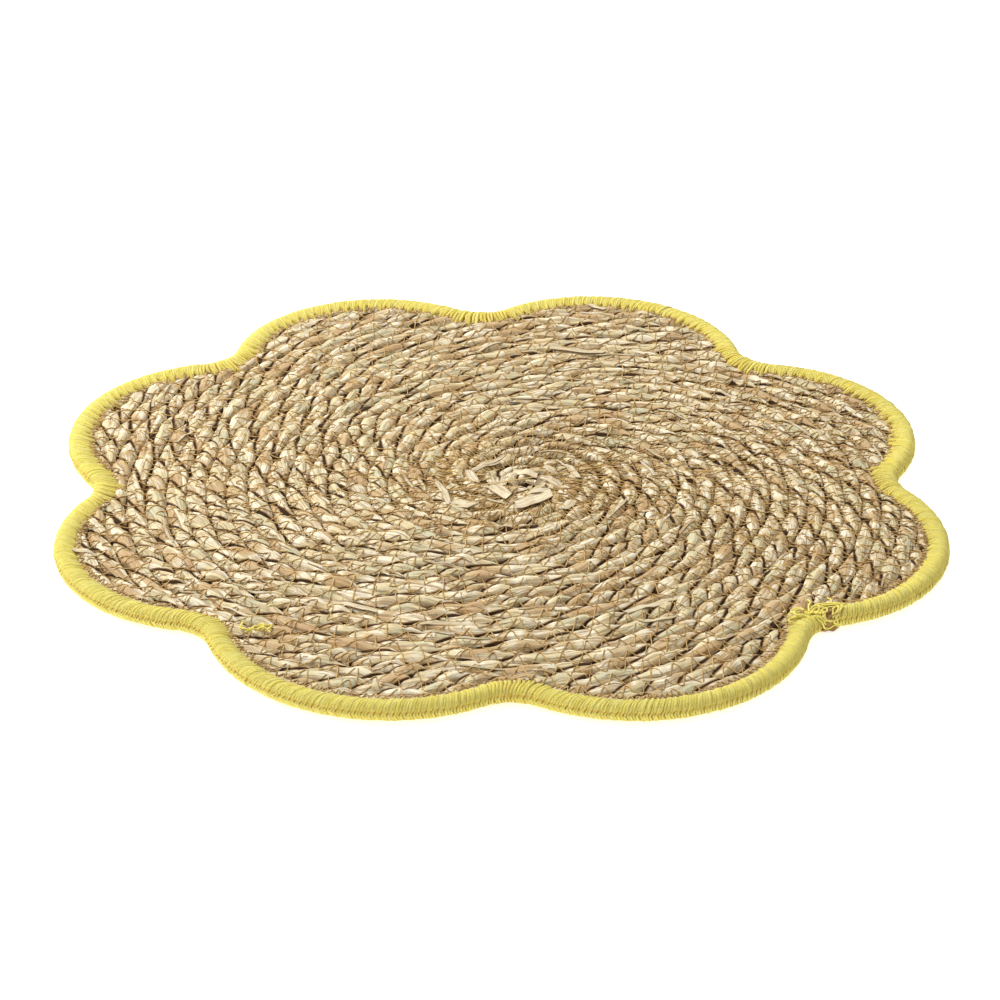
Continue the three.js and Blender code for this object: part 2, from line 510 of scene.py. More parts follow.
    def thread(
        self,
        line: Value,
        radius: Value,
        sides: int,
        material: Material,
        facing: Value | None = None,
    ) -> None:
        """Ends the tree with a round thread along a curve, which carries along and around.

        Args:
            line: The curve.
            radius: The thread's radius.
            sides: Corners of the thread's section.
            material: The thread's finish.
            facing: Where the thread's free side faces, for painted shade on its flanks.
        """
        line, middle = self.kept(line, self.position())
        body, corner = self.swept(line, sides, 1.0, radius)
        body = self.stored(body, "around", corner / float(sides))
        if facing is not None:
            terms = {0: self.position() - middle, 1: facing}
            free = self.value("ShaderNodeVectorMath", terms, {"operation": "DOT_PRODUCT"}, "Value")
            flank = (free / radius).rise(FLANK_FREE, FLANK_DEEP) * FLANK_SHADE
            body = self.stored(body, "groove", self.attribute("groove").at_least(flank))
        self.finished(body, material)

    def finished(self, geometry: Value, material: Material, crisp_from: float = math.pi) -> None:
        """Ends the tree: instances made real, in one material, smooth but for its sharp edges.

        Args:
            geometry: What the tree has made.
            material: Its material.
            crisp_from: Angle in radians above which an edge stays crisp.
        """
        real = self.value("GeometryNodeRealizeInstances", {"Geometry": geometry})
        smooth = self.value("GeometryNodeSetShadeSmooth", {"Geometry": real})
        sharp = self.value("GeometryNodeInputMeshEdgeAngle").above(crisp_from)
        inputs = {"Geometry": smooth, "Selection": sharp, "Shade Smooth": False}
        creased = self.value("GeometryNodeSetShadeSmooth", inputs, {"domain": "EDGE"})
        inputs = {"Geometry": creased, "Material": material}
        dressed = self.value("GeometryNodeSetMaterial", inputs)
        self.node("NodeGroupOutput", {"Geometry": dressed})

    def grow(self, name: str, source: Mesh) -> Object:
        """Runs the tree on a mesh.

        Args:
            name: The new piece's name.
            source: The mesh that the tree starts from. It isn't kept.

        Returns:
            An object with the plain mesh that comes out, its faces pointing outwards.
        """
        host = add_object(name + "_source", source)
        modifier = host.modifiers.new("shape", "NODES")
        modifier.node_group = self.tree
        for item in self.tree.interface.items_tree:
            if item.in_out == "INPUT" and item.name in self.sizes:
                modifier[item.identifier] = self.sizes[item.name]
        bpy.context.view_layer.update()
        evaluated = host.evaluated_get(bpy.context.evaluated_depsgraph_get())
        mesh = bpy.data.meshes.new_from_object(evaluated)
        mesh.name = name
        bpy.data.objects.remove(host)
        bpy.data.meshes.remove(source)
        face_outwards(mesh)
        return add_object(name, mesh)


# Meshes


def add_object(name: str, mesh: Mesh, material: Material | None = None) -> Object:
    """Puts a mesh into the scene as an object at the origin, in a material if one is given.

    Args:
        name: The object's name.
        mesh: Its mesh.
        material: Its finish, if any.

    Returns:
        The object.
    """
    if material:
        mesh.materials.append(material)
    piece = bpy.data.objects.new(name, mesh)
    bpy.context.scene.collection.objects.link(piece)
    return piece


def points_of(mesh: Mesh) -> Rows:
    """The mesh's points as rows of x, y and z.

    Args:
        mesh: The mesh.

    Returns:
        Rows of x, y and z.
    """
    points = np.empty(len(mesh.vertices) * 3, np.float32)
    mesh.vertices.foreach_get("co", points)
    return points.reshape(-1, 3).astype(float)


def place_points(mesh: Mesh, points: Rows) -> None:
    """Moves the mesh's points to new places."""
    mesh.vertices.foreach_set("co", points.astype(np.float32).ravel())
    mesh.update()


def face_outwards(mesh: Mesh) -> None:
    """Turns all faces over if the closed mesh holds less than nothing.

    Args:
        mesh: A closed mesh.
    """
    mesh.calc_loop_triangles()
    corners = np.empty(len(mesh.loop_triangles) * 3, np.int32)
    mesh.loop_triangles.foreach_get("vertices", corners)
    first, second, third = points_of(mesh)[corners].reshape(-1, 3, 3).transpose(1, 0, 2)
    if np.einsum("ij,ij->", first, np.cross(second, third)) < 0:
        mesh.flip_normals()


def set_attributes(mesh: Mesh, values: Mapping[str, Rows]) -> None:
    """Writes a number or a vector for each point of the mesh, under each of the names."""
    for name, rows in values.items():
        kind, key = ("FLOAT_VECTOR", "vector") if rows.ndim == 2 else ("FLOAT", "value")
        attribute = mesh.attributes.new(name, kind, "POINT")
        attribute.data.foreach_set(key, rows.astype(np.float32).ravel())


def path_mesh(name: str, points: Rows, runs: Rows, **values: Rows) -> Mesh:
    """Lines through points.

    Args:
        name: The mesh's name.
        points: The points in order, as rows of x, y and z.
        runs: The number of the line that each point is on.
        values: What each point carries, by name.

    Returns:
        A mesh of points and edges.
    """
    joined = np.flatnonzero(runs[1:] == runs[:-1])
    edges = np.stack([joined, joined + 1], axis=1)
    mesh = bpy.data.meshes.new(name)
    mesh.from_pydata(points.tolist(), edges.tolist(), [])
    set_attributes(mesh, values)
    return mesh


def swept_mesh(name: str, rings: Rows, closed: bool, **values: Rows) -> Mesh:
    """A closed body from rings of points.

    Args:
        name: The mesh's name.
        rings: Rings by points by x, y and z.
        closed: Whether the last ring is joined to the first. Otherwise both ends are capped.
        values: What each point carries, by name.

    Returns:
        The mesh, smooth, with its faces outwards.
    """
    count, size = rings.shape[:2]
    ring = np.arange(count if closed else count - 1)[:, None]
    spot = np.arange(size)[None, :]
    after = (ring + 1) % count
    turn = (spot + 1) % size
    corners = (ring * size + spot, ring * size + turn, after * size + turn, after * size + spot)
    faces = np.stack(corners, axis=2).reshape(-1, 4).tolist()
    if not closed:
        faces.append(list(range(size))[::-1])
        faces.append(list(range((count - 1) * size, count * size)))
    mesh = bpy.data.meshes.new(name)
    mesh.from_pydata(rings.reshape(-1, 3).tolist(), [], faces)
    set_attributes(mesh, values)
    mesh.shade_smooth()
    face_outwards(mesh)
    return mesh


# Finishes


@dataclass(frozen=True)
class Seagrass:
    """Dried seagrass leaf: straw to tan blades with fine veins along them, and painted shade in creases.

    Painted shade darkens a crease where the blade lies deep between the strands or near the rope's
    middle height, and it darkens the blades' edges where they meet.
    """

    name: str = "seagrass"
    tones: Stops = (
        (0.0, srgb(206, 202, 168)),
        (0.3, srgb(228, 210, 166)),
        (0.52, srgb(246, 237, 210)),
        (0.76, srgb(208, 184, 140)),
        (1.0, srgb(202, 170, 128)),
    )
    vein: Colour = srgb(160, 126, 80)
    # Mid brown of the painted shade along the blades' edges and of the softer painted shade over creases
    worn: Colour = srgb(150, 106, 58)
    # Dark brown of the leaf's own flecks, and of the painted shade deepest in the creases
    shade: Colour = srgb(42, 24, 8)
    bleached: Colour = srgb(222, 208, 176)
    tone_length: float = 24 * MM
    bundle_length: float = 16 * MM
    bundle_share: float = 0.45
    vein_length: float = 10 * MM
    vein_strength: float = 0.6
    vein_depth: float = 0.24 * MM
    fleck_length: float = 2.4 * MM
    fleck_strength: float = 0.3
    middle_height: float = 3.4 * MM
    crease_reach: float = 2.1 * MM
    crease_from: float = 0.5
    crease_to: float = 0.73
    # How strongly painted shade darkens the creases at their deepest, softly around them, and along the
    # blades' edges
    crease_half_shade: float = 0.75
    crease_shade: float = 0.95
    edge_shade: float = 0.55
    matt: float = 0.5
    gloss: float = 0.12

    def paint(self) -> Material:
        """Makes the material. It reads along, across, strip, bundle, deep and bleach from the mesh.

        Returns:
            The material.
        """
        paint = Paint(self.name)
        along, across = paint.attribute("along"), paint.attribute("across")
        strip, bundle = paint.attribute("strip"), paint.attribute("bundle")
        own = paint.noise(paint.vector(along / self.tone_length, strip * 7.3, 0.0), 2.0)
        common = paint.noise(paint.vector(along / self.bundle_length, bundle * 5.1, 9.0), 1.0)
        tone = own * (1 - self.bundle_share) + common * self.bundle_share
        blade = paint.ramp(tone.rise(0.12, 0.88), self.tones)
        blade = paint.mix(paint.attribute("bleach"), blade, self.bleached)
        veins = paint.noise(paint.vector(along / self.vein_length, across * 2.4, strip * 3.1), 3.0, 0.65)
        blade = paint.mix(veins.rise(0.6, 0.1) * self.vein_strength, blade, self.vein)
        flecks = paint.noise(paint.vector(along / self.fleck_length, across * 6.0, strip * 1.7), 2.0, 0.7)
        blade = paint.mix(flecks.rise(0.72, 1.0) * self.fleck_strength, blade, self.shade)
        # Painted shade: deepest where the blade lies between the strands or near the rope's middle
        # height, where the turns meet
        height = (paint.part(paint.place(), "Z") - self.middle_height).unsigned()
        painted_crease_shade = paint.attribute("deep").rise(self.crease_from, self.crease_to)
        painted_crease_shade = painted_crease_shade.at_least(height.rise(self.crease_reach, 0.0))
        # Painted shade along the blades' edges where they meet, and a softer painted shade over the
        # creases
        edge = across.unsigned().rise(0.8, 1.0)
        edge_and_crease_shade = (edge * self.edge_shade).at_least(painted_crease_shade.rise(0.0, 0.5) * self.crease_half_shade)
        blade = paint.mix(edge_and_crease_shade, blade, self.worn)
        paint.feed(
            Base_Color=paint.mix(painted_crease_shade.rise(0.35, 1.0) * self.crease_shade, blade, self.shade),
            Roughness=self.matt + veins * 0.25 + painted_crease_shade * 0.3,
            Specular_IOR_Level=self.gloss,
        )
        paint.bump(veins, self.vein_depth)
        return paint.material


@dataclass(frozen=True)
class CrushedLeafAndShade:
    """Broken leaf between the turns: dark brown as painted shade in the gaps, with lighter chaff."""

    name: str = "crushed_leaf"
    # Dark brown that stands in for the shade between the turns
    dark: Colour = srgb(58, 42, 24)
    chaff: Colour = srgb(132, 104, 64)
    grain: float = 1.4 * MM
    depth: float = 0.5 * MM
    matt: float = 0.9
    gloss: float = 0.1

    def paint(self) -> Material:
        """Makes the material.

        Returns:
            The material.
        """
        paint = Paint(self.name)
        bits = paint.noise(paint.place() * (1 / self.grain), 4.0, 0.7)
        colour = paint.mix(bits.rise(0.55, 0.95), self.dark, self.chaff)
        paint.feed(Base_Color=colour, Roughness=self.matt, Specular_IOR_Level=self.gloss)
        paint.bump(bits, self.depth)
        return paint.material


@dataclass(frozen=True)
class SewingThread:
    """Two-ply golden-brown thread."""

    name: str = "sewing_thread"
    lit: Colour = srgb(222, 188, 120)
    # The darker tone, for age at random and for the painted shade between the plies
    worn: Colour = srgb(166, 128, 70)
    ply_length: float = 1.1 * MM
    ply_share: float = 0.4
    ply_depth: float = 0.08 * MM
    tone_length: float = 14 * MM
    matt: float = 0.6
    gloss: float = 0.25

    def paint(self) -> Material:
        """Makes the material. It reads along and around from the mesh.

        Returns:
            The material.
        """
        paint = Paint(self.name)
        along, around = paint.attribute("along"), paint.attribute("around")
        # The ply stripes are painted light and shade: lighter on each ply's crest, darker in the groove
        # between plies; age varies the tone at random
        ply = ((along / self.ply_length + around) * FULL_TURN).sine() * 0.5 + 0.5
        age = paint.noise(paint.vector(along / self.tone_length, 0.0, 0.0), 2.0)
        share = (age * (1 - self.ply_share) + ply * self.ply_share).rise(0.2, 0.9)
        colour = paint.mix(share, self.worn, self.lit)
        paint.feed(Base_Color=colour, Roughness=self.matt, Specular_IOR_Level=self.gloss)
        paint.bump(ply, self.ply_depth)
        return paint.material


@dataclass(frozen=True)
class YellowCotton:
    """Soft yellow cotton yarn with a matt, slightly hairy surface."""

    name: str = "yellow_cotton"
    lit: Colour = srgb(248, 240, 147)
    warm: Colour = srgb(245, 227, 92)
    # Colour of the painted shade in the grooves between strands
    deep: Colour = srgb(190, 136, 30)
    sheen: Colour = srgb(252, 246, 190)
    dye_length: float = 30 * MM
    hair_length: float = 1.4 * MM
    hair_share: float = 0.4
    hair_depth: float = 0.2 * MM
    patch_length: float = 5 * MM
    patch_shade: float = 0.22
    groove_shade: float = 0.85
    matt: float = 0.9
    gloss: float = 0.2

    def paint(self) -> Material:
        """Makes the material. It reads along, strip, around and groove from the mesh.

        Returns:
            The material.
        """
        paint = Paint(self.name)
        along, strip = paint.attribute("along"), paint.attribute("strip")
        around, groove = paint.attribute("around"), paint.attribute("groove")
        dye = paint.noise(paint.vector(strip * 0.73, along / self.dye_length, 0.0), 2.0)
        hairs = paint.noise(paint.vector(along / self.hair_length, around * 9.0, strip * 3.3), 3.0, 0.65)
        yarn = paint.mix(dye * (1 - self.hair_share) + hairs * self.hair_share, self.lit, self.warm)
        patch = paint.noise(paint.vector(strip * 4.37, along / self.patch_length, 5.0), 1.0)
        # Painted shade: groove darkens the strands' flanks, where they meet, where they tuck in, the
        # rim's inner part and the sheath; patch darkens strands at random
        dark = (groove * self.groove_shade).at_least(patch.rise(0.35, 1.0) * self.patch_shade)
        paint.feed(
            Base_Color=paint.mix(dark, yarn, self.deep),
            Roughness=self.matt,
            Specular_IOR_Level=self.gloss,
            Sheen_Weight=0.15,
            Sheen_Roughness=0.5,
            Sheen_Tint=self.sheen,
        )
        paint.bump(hairs, self.hair_depth)
        return paint.material


@dataclass(frozen=True)
class PaleFloor:
    """Plain matt white tabletop."""

    name: str = "pale_floor"
    white: Colour = (0.93, 0.93, 0.93, 1.0)
    grey: Colour = (0.86, 0.86, 0.86, 1.0)
    grain: float = 8 * MM
    grain_strength: float = 0.02
    matt: float = 0.8
    glow: float = 0.7

    def paint(self) -> Material:
        """Makes the material, with a very faint grain.

        Returns:
            The material.
        """
        paint = Paint(self.name)
        grain = paint.noise(paint.place() * (1 / self.grain), 3.0)
        tinted = paint.mix(grain * self.grain_strength, self.white, self.grey)
        paint.feed(Base_Color=tinted, Roughness=self.matt)
        paint.feed(Emission_Color=self.white, Emission_Strength=self.glow)
        return paint.material


# The mat's plan


class LobeRow(NamedTuple):
    """One notch and the lobe that follows it, counted counterclockwise from +X."""

    notch_at: float
    notch_reach: float
    tip_at: float
    tip_reach: float


class Arc(NamedTuple):
    """A round stretch of the outline. side is 1 where its middle lies inside, and -1 in a notch."""

    centre: Rows
    radius: float
    start: float
    sweep: float
    side: int


class Places(NamedTuple):
    """Places along the outline: point, outward direction and distance from the join."""

    base: Rows
    outward: Rows
    along: Rows

    def rings(self, offset: Rows, height: Rows) -> Rows:
        """A ring of points at each place.

        Args:
            offset: How far each point lies outside the line, for all places or for each.
            height: The points' heights, likewise.

        Returns:
            Places by points by x, y and z.
        """
        plan = self.base[:, None, :] + self.outward[:, None, :] * offset[..., None]
        level = np.broadcast_to(height, plan.shape[:2])[..., None]
        return np.concatenate([plan, level], axis=2)


def ray(angle: float | Rows) -> Rows:
    """The unit vector, or the rows of them, at an angle in radians."""
    return np.stack([np.cos(angle), np.sin(angle)], axis=-1)


def angle_to(origin: Rows, target: Rows) -> float:
    """Direction from one point to another, in radians."""
    return math.atan2(target[1] - origin[1], target[0] - origin[0])


@dataclass
class Outline:
    """The outer line of the bound edge: eight lobes with rounded notches between them."""

    lobes: tuple[LobeRow, ...] = (
        LobeRow(3.3, 162.6, 25.0, 189.0),
        LobeRow(47.3, 158.6, 70.5, 191.3),
        LobeRow(93.0, 159.0, 116.5, 188.8),
        LobeRow(137.5, 161.2, 160.0, 189.4),
        LobeRow(183.3, 162.8, 206.0, 188.9),
        LobeRow(226.1, 162.6, 249.5, 186.2),
        LobeRow(272.4, 161.1, 295.0, 187.6),
        LobeRow(318.8, 162.3, 341.0, 189.3),
    )
    notch_radius: float = 18 * MM
    join_lobe: int = 7
    join_shift: float = 6 * MM
    fine_step: float = 0.25 * MM
    notch_wedge: float = 60 * MM
    middle_radius: float = 150 * MM
    notch_window: float = 10 * MM
    notch_apart: float = 30 * MM
    frame_box: tuple[Vector, Vector] = field(default_factory=lambda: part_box("edge_binding"))

    @staticmethod
    def _polar(degrees: float, reach: float) -> Rows:
        """The point at a direction and a distance in millimetres."""
        return ray(math.radians(degrees)) * reach * MM

    def _lobe(self, row: LobeRow, after: LobeRow) -> tuple[Rows, float]:
        """Middle and radius of the circle through a lobe's two notches and its tip.

        Args:
            row: The lobe and the notch before it.
            after: The next row.

        Returns:
            The circle's middle and radius.
        """
        notch = self._polar(row.notch_at, row.notch_reach)
        tip = self._polar(row.tip_at, row.tip_reach)
        following = self._polar(after.notch_at, after.notch_reach)
        sides = np.array([tip - notch, following - notch])
        centre = notch + np.linalg.solve(sides * 2, (sides**2).sum(axis=1))
        return centre, float(np.linalg.norm(centre - notch))

    def _notch(self, before: tuple[Rows, float], after: tuple[Rows, float]) -> Rows:
        """Middle of the round that touches two neighbouring lobes from outside.

        Args:
            before: Middle and radius of the lobe before the notch.
            after: Those of the lobe after it.

        Returns:
            The round's middle.
        """
        apart = float(np.linalg.norm(after[0] - before[0]))
        first, second = before[1] + self.notch_radius, after[1] + self.notch_radius
        along = (first**2 - second**2 + apart**2) / (2 * apart)
        direction = (after[0] - before[0]) / apart
        outward = np.array([direction[1], -direction[0]])
        return before[0] + direction * along + outward * math.sqrt(first**2 - along**2)

    @cached_property
    def arcs(self) -> list[Arc]:
        """Notch and lobe by turns, counterclockwise from the join's notch, in the row frame.

        Returns:
            Sixteen arcs that meet end to end.
        """
        count = len(self.lobes)
        circles = [self._lobe(*pair) for pair in zip(self.lobes, self.lobes[1:] + self.lobes[:1])]
        notches = [self._notch(*pair) for pair in zip(circles[-1:] + circles[:-1], circles)]
        arcs = []
        for step in range(count):
            index = (self.join_lobe + step) % count
            before, (centre, radius) = circles[index - 1], circles[index]
            notch, following = notches[index], notches[(index + 1) % count]
            start = angle_to(notch, before[0])
            sweep = (angle_to(notch, centre) - start) % FULL_TURN - FULL_TURN
            arcs.append(Arc(notch, self.notch_radius, start, sweep, -1))
            start = angle_to(centre, notch)
            sweep = (angle_to(centre, following) - start) % FULL_TURN
            arcs.append(Arc(centre, radius, start, sweep, 1))
        points = self._dense(arcs)[0]
        frame_middle = (self.frame_box[0] + self.frame_box[1]) / 2
        shift = np.array(frame_middle[:2]) - (points.min(axis=0) + points.max(axis=0)) / 2
        return [arc._replace(centre=arc.centre + shift) for arc in arcs]

    def _dense(self, arcs: list[Arc]) -> tuple[Rows, Rows]:
        """Close points on the arcs and their outward directions, from the middle of the first.

        Args:
            arcs: The arcs, end to end.

        Returns:
            Points and directions, as rows of x and y.
        """
        bases, rays = [], []
        for arc in arcs:
            count = math.ceil(arc.radius * abs(arc.sweep) / self.fine_step)
            rays.append(ray(arc.start + arc.sweep * (np.arange(count) + 0.5) / count) * arc.side)
            bases.append(arc.centre + rays[-1] * arc.radius * arc.side)
        half = len(bases[0]) // 2
        return tuple(np.roll(np.concatenate(rows), -half, axis=0) for rows in (bases, rays))

    @cached_property
    def fine(self) -> Places:
        """Close places all the way round, the last one a repeat of the first.

        Returns:
            The places.
        """
        base, outward = (np.concatenate([rows, rows[:1]]) for rows in self._dense(self.arcs))
        steps = np.linalg.norm(np.diff(base, axis=0), axis=1)
        return Places(base, outward, np.concatenate([[0.0], np.cumsum(steps)]))

    @property
    def length(self) -> float:
        """Length of the line all the way round."""
        return float(self.fine.along[-1])

    @cached_property
    def notches_along(self) -> Rows:
        """Distance from the join to the middle of each notch.

        Returns:
            Distances, for one round and the next.
        """
        reach = np.linalg.norm(self.fine.base[:-1], axis=1)
        window = round(self.notch_window / self.fine_step)
        nearest = (reach < np.roll(reach, window)) & (reach < np.roll(reach, -window))
        spots = self.fine.along[:-1][nearest]
        starts = spots[np.diff(spots, prepend=-math.inf) > self.notch_apart]
        ends = spots[np.diff(spots, append=math.inf) > self.notch_apart]
        middles = (starts + ends) / 2
        return np.concatenate([middles, middles + self.length]) - self.join_shift

    def at(self, along: Rows) -> Places:
        """Places at distances from the join, counterclockwise.

        Args:
            along: Distances in metres.

        Returns:
            The places.
        """
        around = np.mod(along + self.join_shift, self.length)
        columns = (*self.fine.base.T, *self.fine.outward.T)
        values = np.stack([np.interp(around, self.fine.along, column) for column in columns], axis=-1)
        outward = values[..., 2:]
        outward = outward / np.linalg.norm(outward, axis=-1, keepdims=True)
        return Places(values[..., :2], outward, along)

    def depth(self, points: Rows) -> tuple[Rows, Rows]:
        """How far points lie inside the line.

        Args:
            points: Rows that start with x and y.

        Returns:
            The depth of each point, and the outward direction there.
        """
        plan = points[:, :2]
        reach = np.linalg.norm(plan, axis=1)
        depth = self.middle_radius - reach
        outward = plan / np.maximum(reach, MM)[:, None]
        for arc in self.arcs[1::2]:
            offset = plan - arc.centre
            reach = np.linalg.norm(offset, axis=1)
            nearer = arc.radius - reach > depth
            depth = np.where(nearer, arc.radius - reach, depth)
            outward = np.where(nearer[:, None], offset / reach[:, None], outward)
        for arc in self.arcs[0::2]:
            offset = plan - arc.centre
            reach = np.linalg.norm(offset, axis=1)
            turned = (arc.start - np.arctan2(offset[:, 1], offset[:, 0])) % FULL_TURN
            inside = (turned < -arc.sweep) & (reach < self.notch_wedge)
            depth = np.where(inside, reach - arc.radius, depth)
            outward = np.where(inside[:, None], -offset / reach[:, None], outward)
        return depth, outward


class Course(NamedTuple):
    """Points on the coil: place, outward side, run number, distance and angle wound."""

    middle: Rows
    side: Rows
    runs: Rows
    along: Rows
    turned: Rows


@dataclass
class Coil:
    """The spiral that the rope follows, outwards and counterclockwise as seen from above."""

    outline: Outline
    start: Pair = (15.17 * MM, 4.6 * MM)
    heart_shift: Pair = (-3.6 * MM, -5.0 * MM)
    heart_turns: float = 7.0
    turn_width: float = 7.9 * MM
    wider_x: float = -0.355 * MM
    wider_y: float = -0.506 * MM
    rope_phase: float = 0.38
    seam_phase: float = 0.88
    rope_height: float = 3.5 * MM
    sag: float = 0.25 * MM
    sag_x: float = 41 * MM
    sag_y: float = 33 * MM
    sag_start: Pair = (0.6, -0.4)
    first_turned: float = -0.1 * FULL_TURN
    last_turned: float = 27 * FULL_TURN
    shortest_run: float = 4 * MM
    fine_points: int = 40000

    def width(self, turned: Rows) -> Rows:
        """Distance between neighbouring turns at an angle wound."""
        return self.turn_width + self.wider_x * np.cos(turned) + self.wider_y * np.sin(turned)

    def plan(self, turned: Rows, phase: float) -> Rows:
        """Points of the spiral in plan.

        Args:
            turned: Angles wound, in radians.
            phase: Turns by which the line is shifted outwards.

        Returns:
            Rows of x and y.
        """
        reach = self.width(turned) * (turned / FULL_TURN + phase)
        share = 1 - smoothstep(0.0, self.heart_turns * FULL_TURN, turned)
        middle = np.array(self.start) + np.array(self.heart_shift) * share[:, None]
        return middle + ray(turned) * reach[:, None]

    def rise(self, plan: Rows) -> Rows:
        """Slow rise and fall of the mat's top."""
        along_x = np.sin(plan[:, 0] / self.sag_x + self.sag_start[0])
        return self.sag * along_x * np.cos(plan[:, 1] / self.sag_y + self.sag_start[1])

    def course(self, phase: float, step: float, margin: float) -> Course:
        """The spiral at even steps, cut off at the edge.

        Args:
            phase: Turns by which the line is shifted outwards.
            step: Distance between two points.
            margin: Least depth inside the outline.

        Returns:
            The points that are left, in runs.
        """
        turned = np.linspace(self.first_turned, self.last_turned, self.fine_points)
        plan = self.plan(turned, phase)
        lengths = np.concatenate([[0.0], np.cumsum(np.linalg.norm(np.diff(plan, axis=0), axis=1))])
        along = np.arange(0, lengths[-1], step)
        turned = np.interp(along, lengths, turned)
        plan = self.plan(turned, phase)
        tangent = np.gradient(plan, axis=0)
        tangent /= np.linalg.norm(tangent, axis=1, keepdims=True)
        side = np.stack([tangent[:, 1], -tangent[:, 0], np.zeros(len(plan))], axis=1)
        kept = self.outline.depth(plan)[0] > margin
        runs = np.cumsum(np.concatenate([[0], np.abs(np.diff(kept.astype(int)))]))
        counts = np.bincount(runs)
        kept &= counts[runs] * step > self.shortest_run
        middle = np.column_stack([plan, np.full(len(plan), self.rope_height)])
        return Course(*(rows[kept] for rows in (middle, side, runs, along, turned)))


class Lay(Enum):
    """Which way a rope's strands turn, as the angle they gain along it."""

    S = 1
    Z = -1


@dataclass
class SeagrassRope:
    """The rope: two strands laid round each other, each a bundle of folded leaf blades."""

    coil: Coil
    lay: Lay = Lay.S
    lay_length: float = 38 * MM
    heart_lay: float = 0.62
    heart_from: float = 15 * MM
    heart_to: float = 75 * MM
    lay_change: Wander = Wander(0.62, 42 * MM, 11)
    sway: Wander = Wander(0.35 * MM, 23 * MM, 12)
    heave: Wander = Wander(0.25 * MM, 17 * MM, 13)
    spread_change: Wander = Wander(0.06, 31 * MM, 14)
    strands: int = 2
    blades: int = 4
    blade_corners: int = 5
    step: float = 2.0 * MM
    strand_offset: float = 1.5 * MM
    strand_rise: float = 0.9 * MM
    strand_radius: float = 2.5 * MM
    thinnest: float = 0.68
    swelling: float = 0.64
    swell_length: float = 13 * MM
    plump: float = 0.16
    raise_beside: float = 0.5 * MM
    wide: float = 1.11
    broad: float = 0.12
    flat: float = 0.86
    groove: float = 0.9 * MM
    groove_from: float = 0.82
    groove_to: float = 1.06
    groove_shade: float = 0.78
    blade_turn: float = -0.1
    gather: float = 0.2
    crown: float = 0.36 * MM
    uneven: float = 0.24 * MM
    lift_length: float = 9 * MM
    drift: float = 0.6
    drift_length: float = 19 * MM
    blade_spread: float = 0.48
    strand_turn: float = 0.31
    crisp_from: float = 0.55
    edge_margin: float = 0.5 * MM
    seed: float = 4.0
    piece_names: tuple[str, ...] = ("rope_inner", "rope_middle", "rope_outer")

    def _course(self) -> tuple[Course, dict[str, Rows]]:
        """The rope's middle line and what its points carry.

        Returns:
            The course, and rows for each of its points by name.
        """
        course = self.coil.course(self.coil.rope_phase, self.step, self.edge_margin)
        along = course.along
        reach = np.linalg.norm(course.middle[:, :2] - np.array(self.coil.start), axis=1)
        outer = smoothstep(self.heart_from, self.heart_to, reach)
        lay = self.lay_length * (self.heart_lay + (1 - self.heart_lay) * outer)
        lay = lay * (1 + self.lay_change.at(along))
        twist = self.lay.value * np.cumsum(FULL_TURN * self.step / lay)
        middle = course.middle + course.side * self.sway.at(along)[:, None]
        middle[:, 2] += self.heave.at(along)
        spread = self.coil.width(course.turned) / self.coil.turn_width
        spread = spread * (1 + self.spread_change.at(along))
        values = {"side": course.side, "along": along, "twist": twist, "spread": spread}
        return course._replace(middle=middle), values

    def _shape(self, material: Material) -> Shape:
        """The node tree that lays the strands round a middle line and folds their blades.

        Args:
            material: The rope's finish.

        Returns:
            The tree.
        """
        shape = Shape("twisted_rope", self, half_turn=self.coil.turn_width / 2)
        size = shape.size
        inputs = {"Geometry": shape.curve(shape.source()), "Amount": size("strands")}
        copies = shape.node("GeometryNodeDuplicateElements", inputs, {"domain": "SPLINE"})
        copy = Value(shape, copies.outputs["Duplicate Index"])
        line, strand = shape.kept(Value(shape, copies.outputs["Geometry"]), copy, "CURVE")
        line, middle = shape.kept(line, shape.position())
        width = float(self.blade_corners)
        swept, corner = shape.swept(line, size("blades") * width)
        # Across a blade its corners go from -1 to 1
        blade = (corner / width).floor()
        across = (corner - blade * width - (width - 1) / 2) / ((width - 1) / 2)
        number = strand * size("blades") + blade
        seed = size("seed")
        along = shape.attribute("along")
        phase = shape.attribute("twist") + strand * FULL_TURN / size("strands")
        # Uneven factors keep the noise of each strand and blade apart from its neighbour's
        swell = shape.noise(shape.vector(along / self.swell_length, strand * 9.1, seed))
        lift = shape.noise(shape.vector(along / self.lift_length, number * 5.3, seed + 7.0))
        drift = shape.noise(shape.vector(along / self.drift_length, number * 3.7, seed + 3.0)) - 0.5
        share = blade + 0.5 + across * size("blade_spread") + drift * size("drift")
        share = share / size("blades")
        facing = (share + strand * size("strand_turn")) * FULL_TURN
        facing = facing + phase * size("blade_turn")
        # Leaf is gathered on the strand's outer side, so that the blades there are narrow
        angle = facing - (facing - phase).sine() * size("gather")
        upright = phase.sine() * phase.sine()
        swollen = size("thinnest") + size("swelling") * swell
        reach = size("strand_radius") * swollen * (1 + upright * size("plump"))
        reach = reach + (lift - 0.5) * size("uneven") * 2
        reach = reach + (1 - across * across) * size("crown")
        wide = size("wide") + upright * size("broad")
        outwards = phase.cosine() * size("strand_offset") + angle.cosine() * reach * wide
        upwards = angle.sine() * reach * size("flat")
        upwards = phase.sine() * size("strand_rise") + upwards
        border = (outwards.unsigned() / size("half_turn")).rise(self.groove_from, self.groove_to)
        upwards = upwards + (1 - upright) * size("raise_beside") - border * size("groove")
        side = shape.attribute("side", "FLOAT_VECTOR")
        spread = shape.attribute("spread")
        place = middle + side * (outwards * spread) + shape.vector(0.0, 0.0, upwards)
        rope = shape.moved(swept, place)
        rope = shape.stored(rope, "across", across)
        rope = shape.stored(rope, "strip", number)
        rope = shape.stored(rope, "bundle", strand)
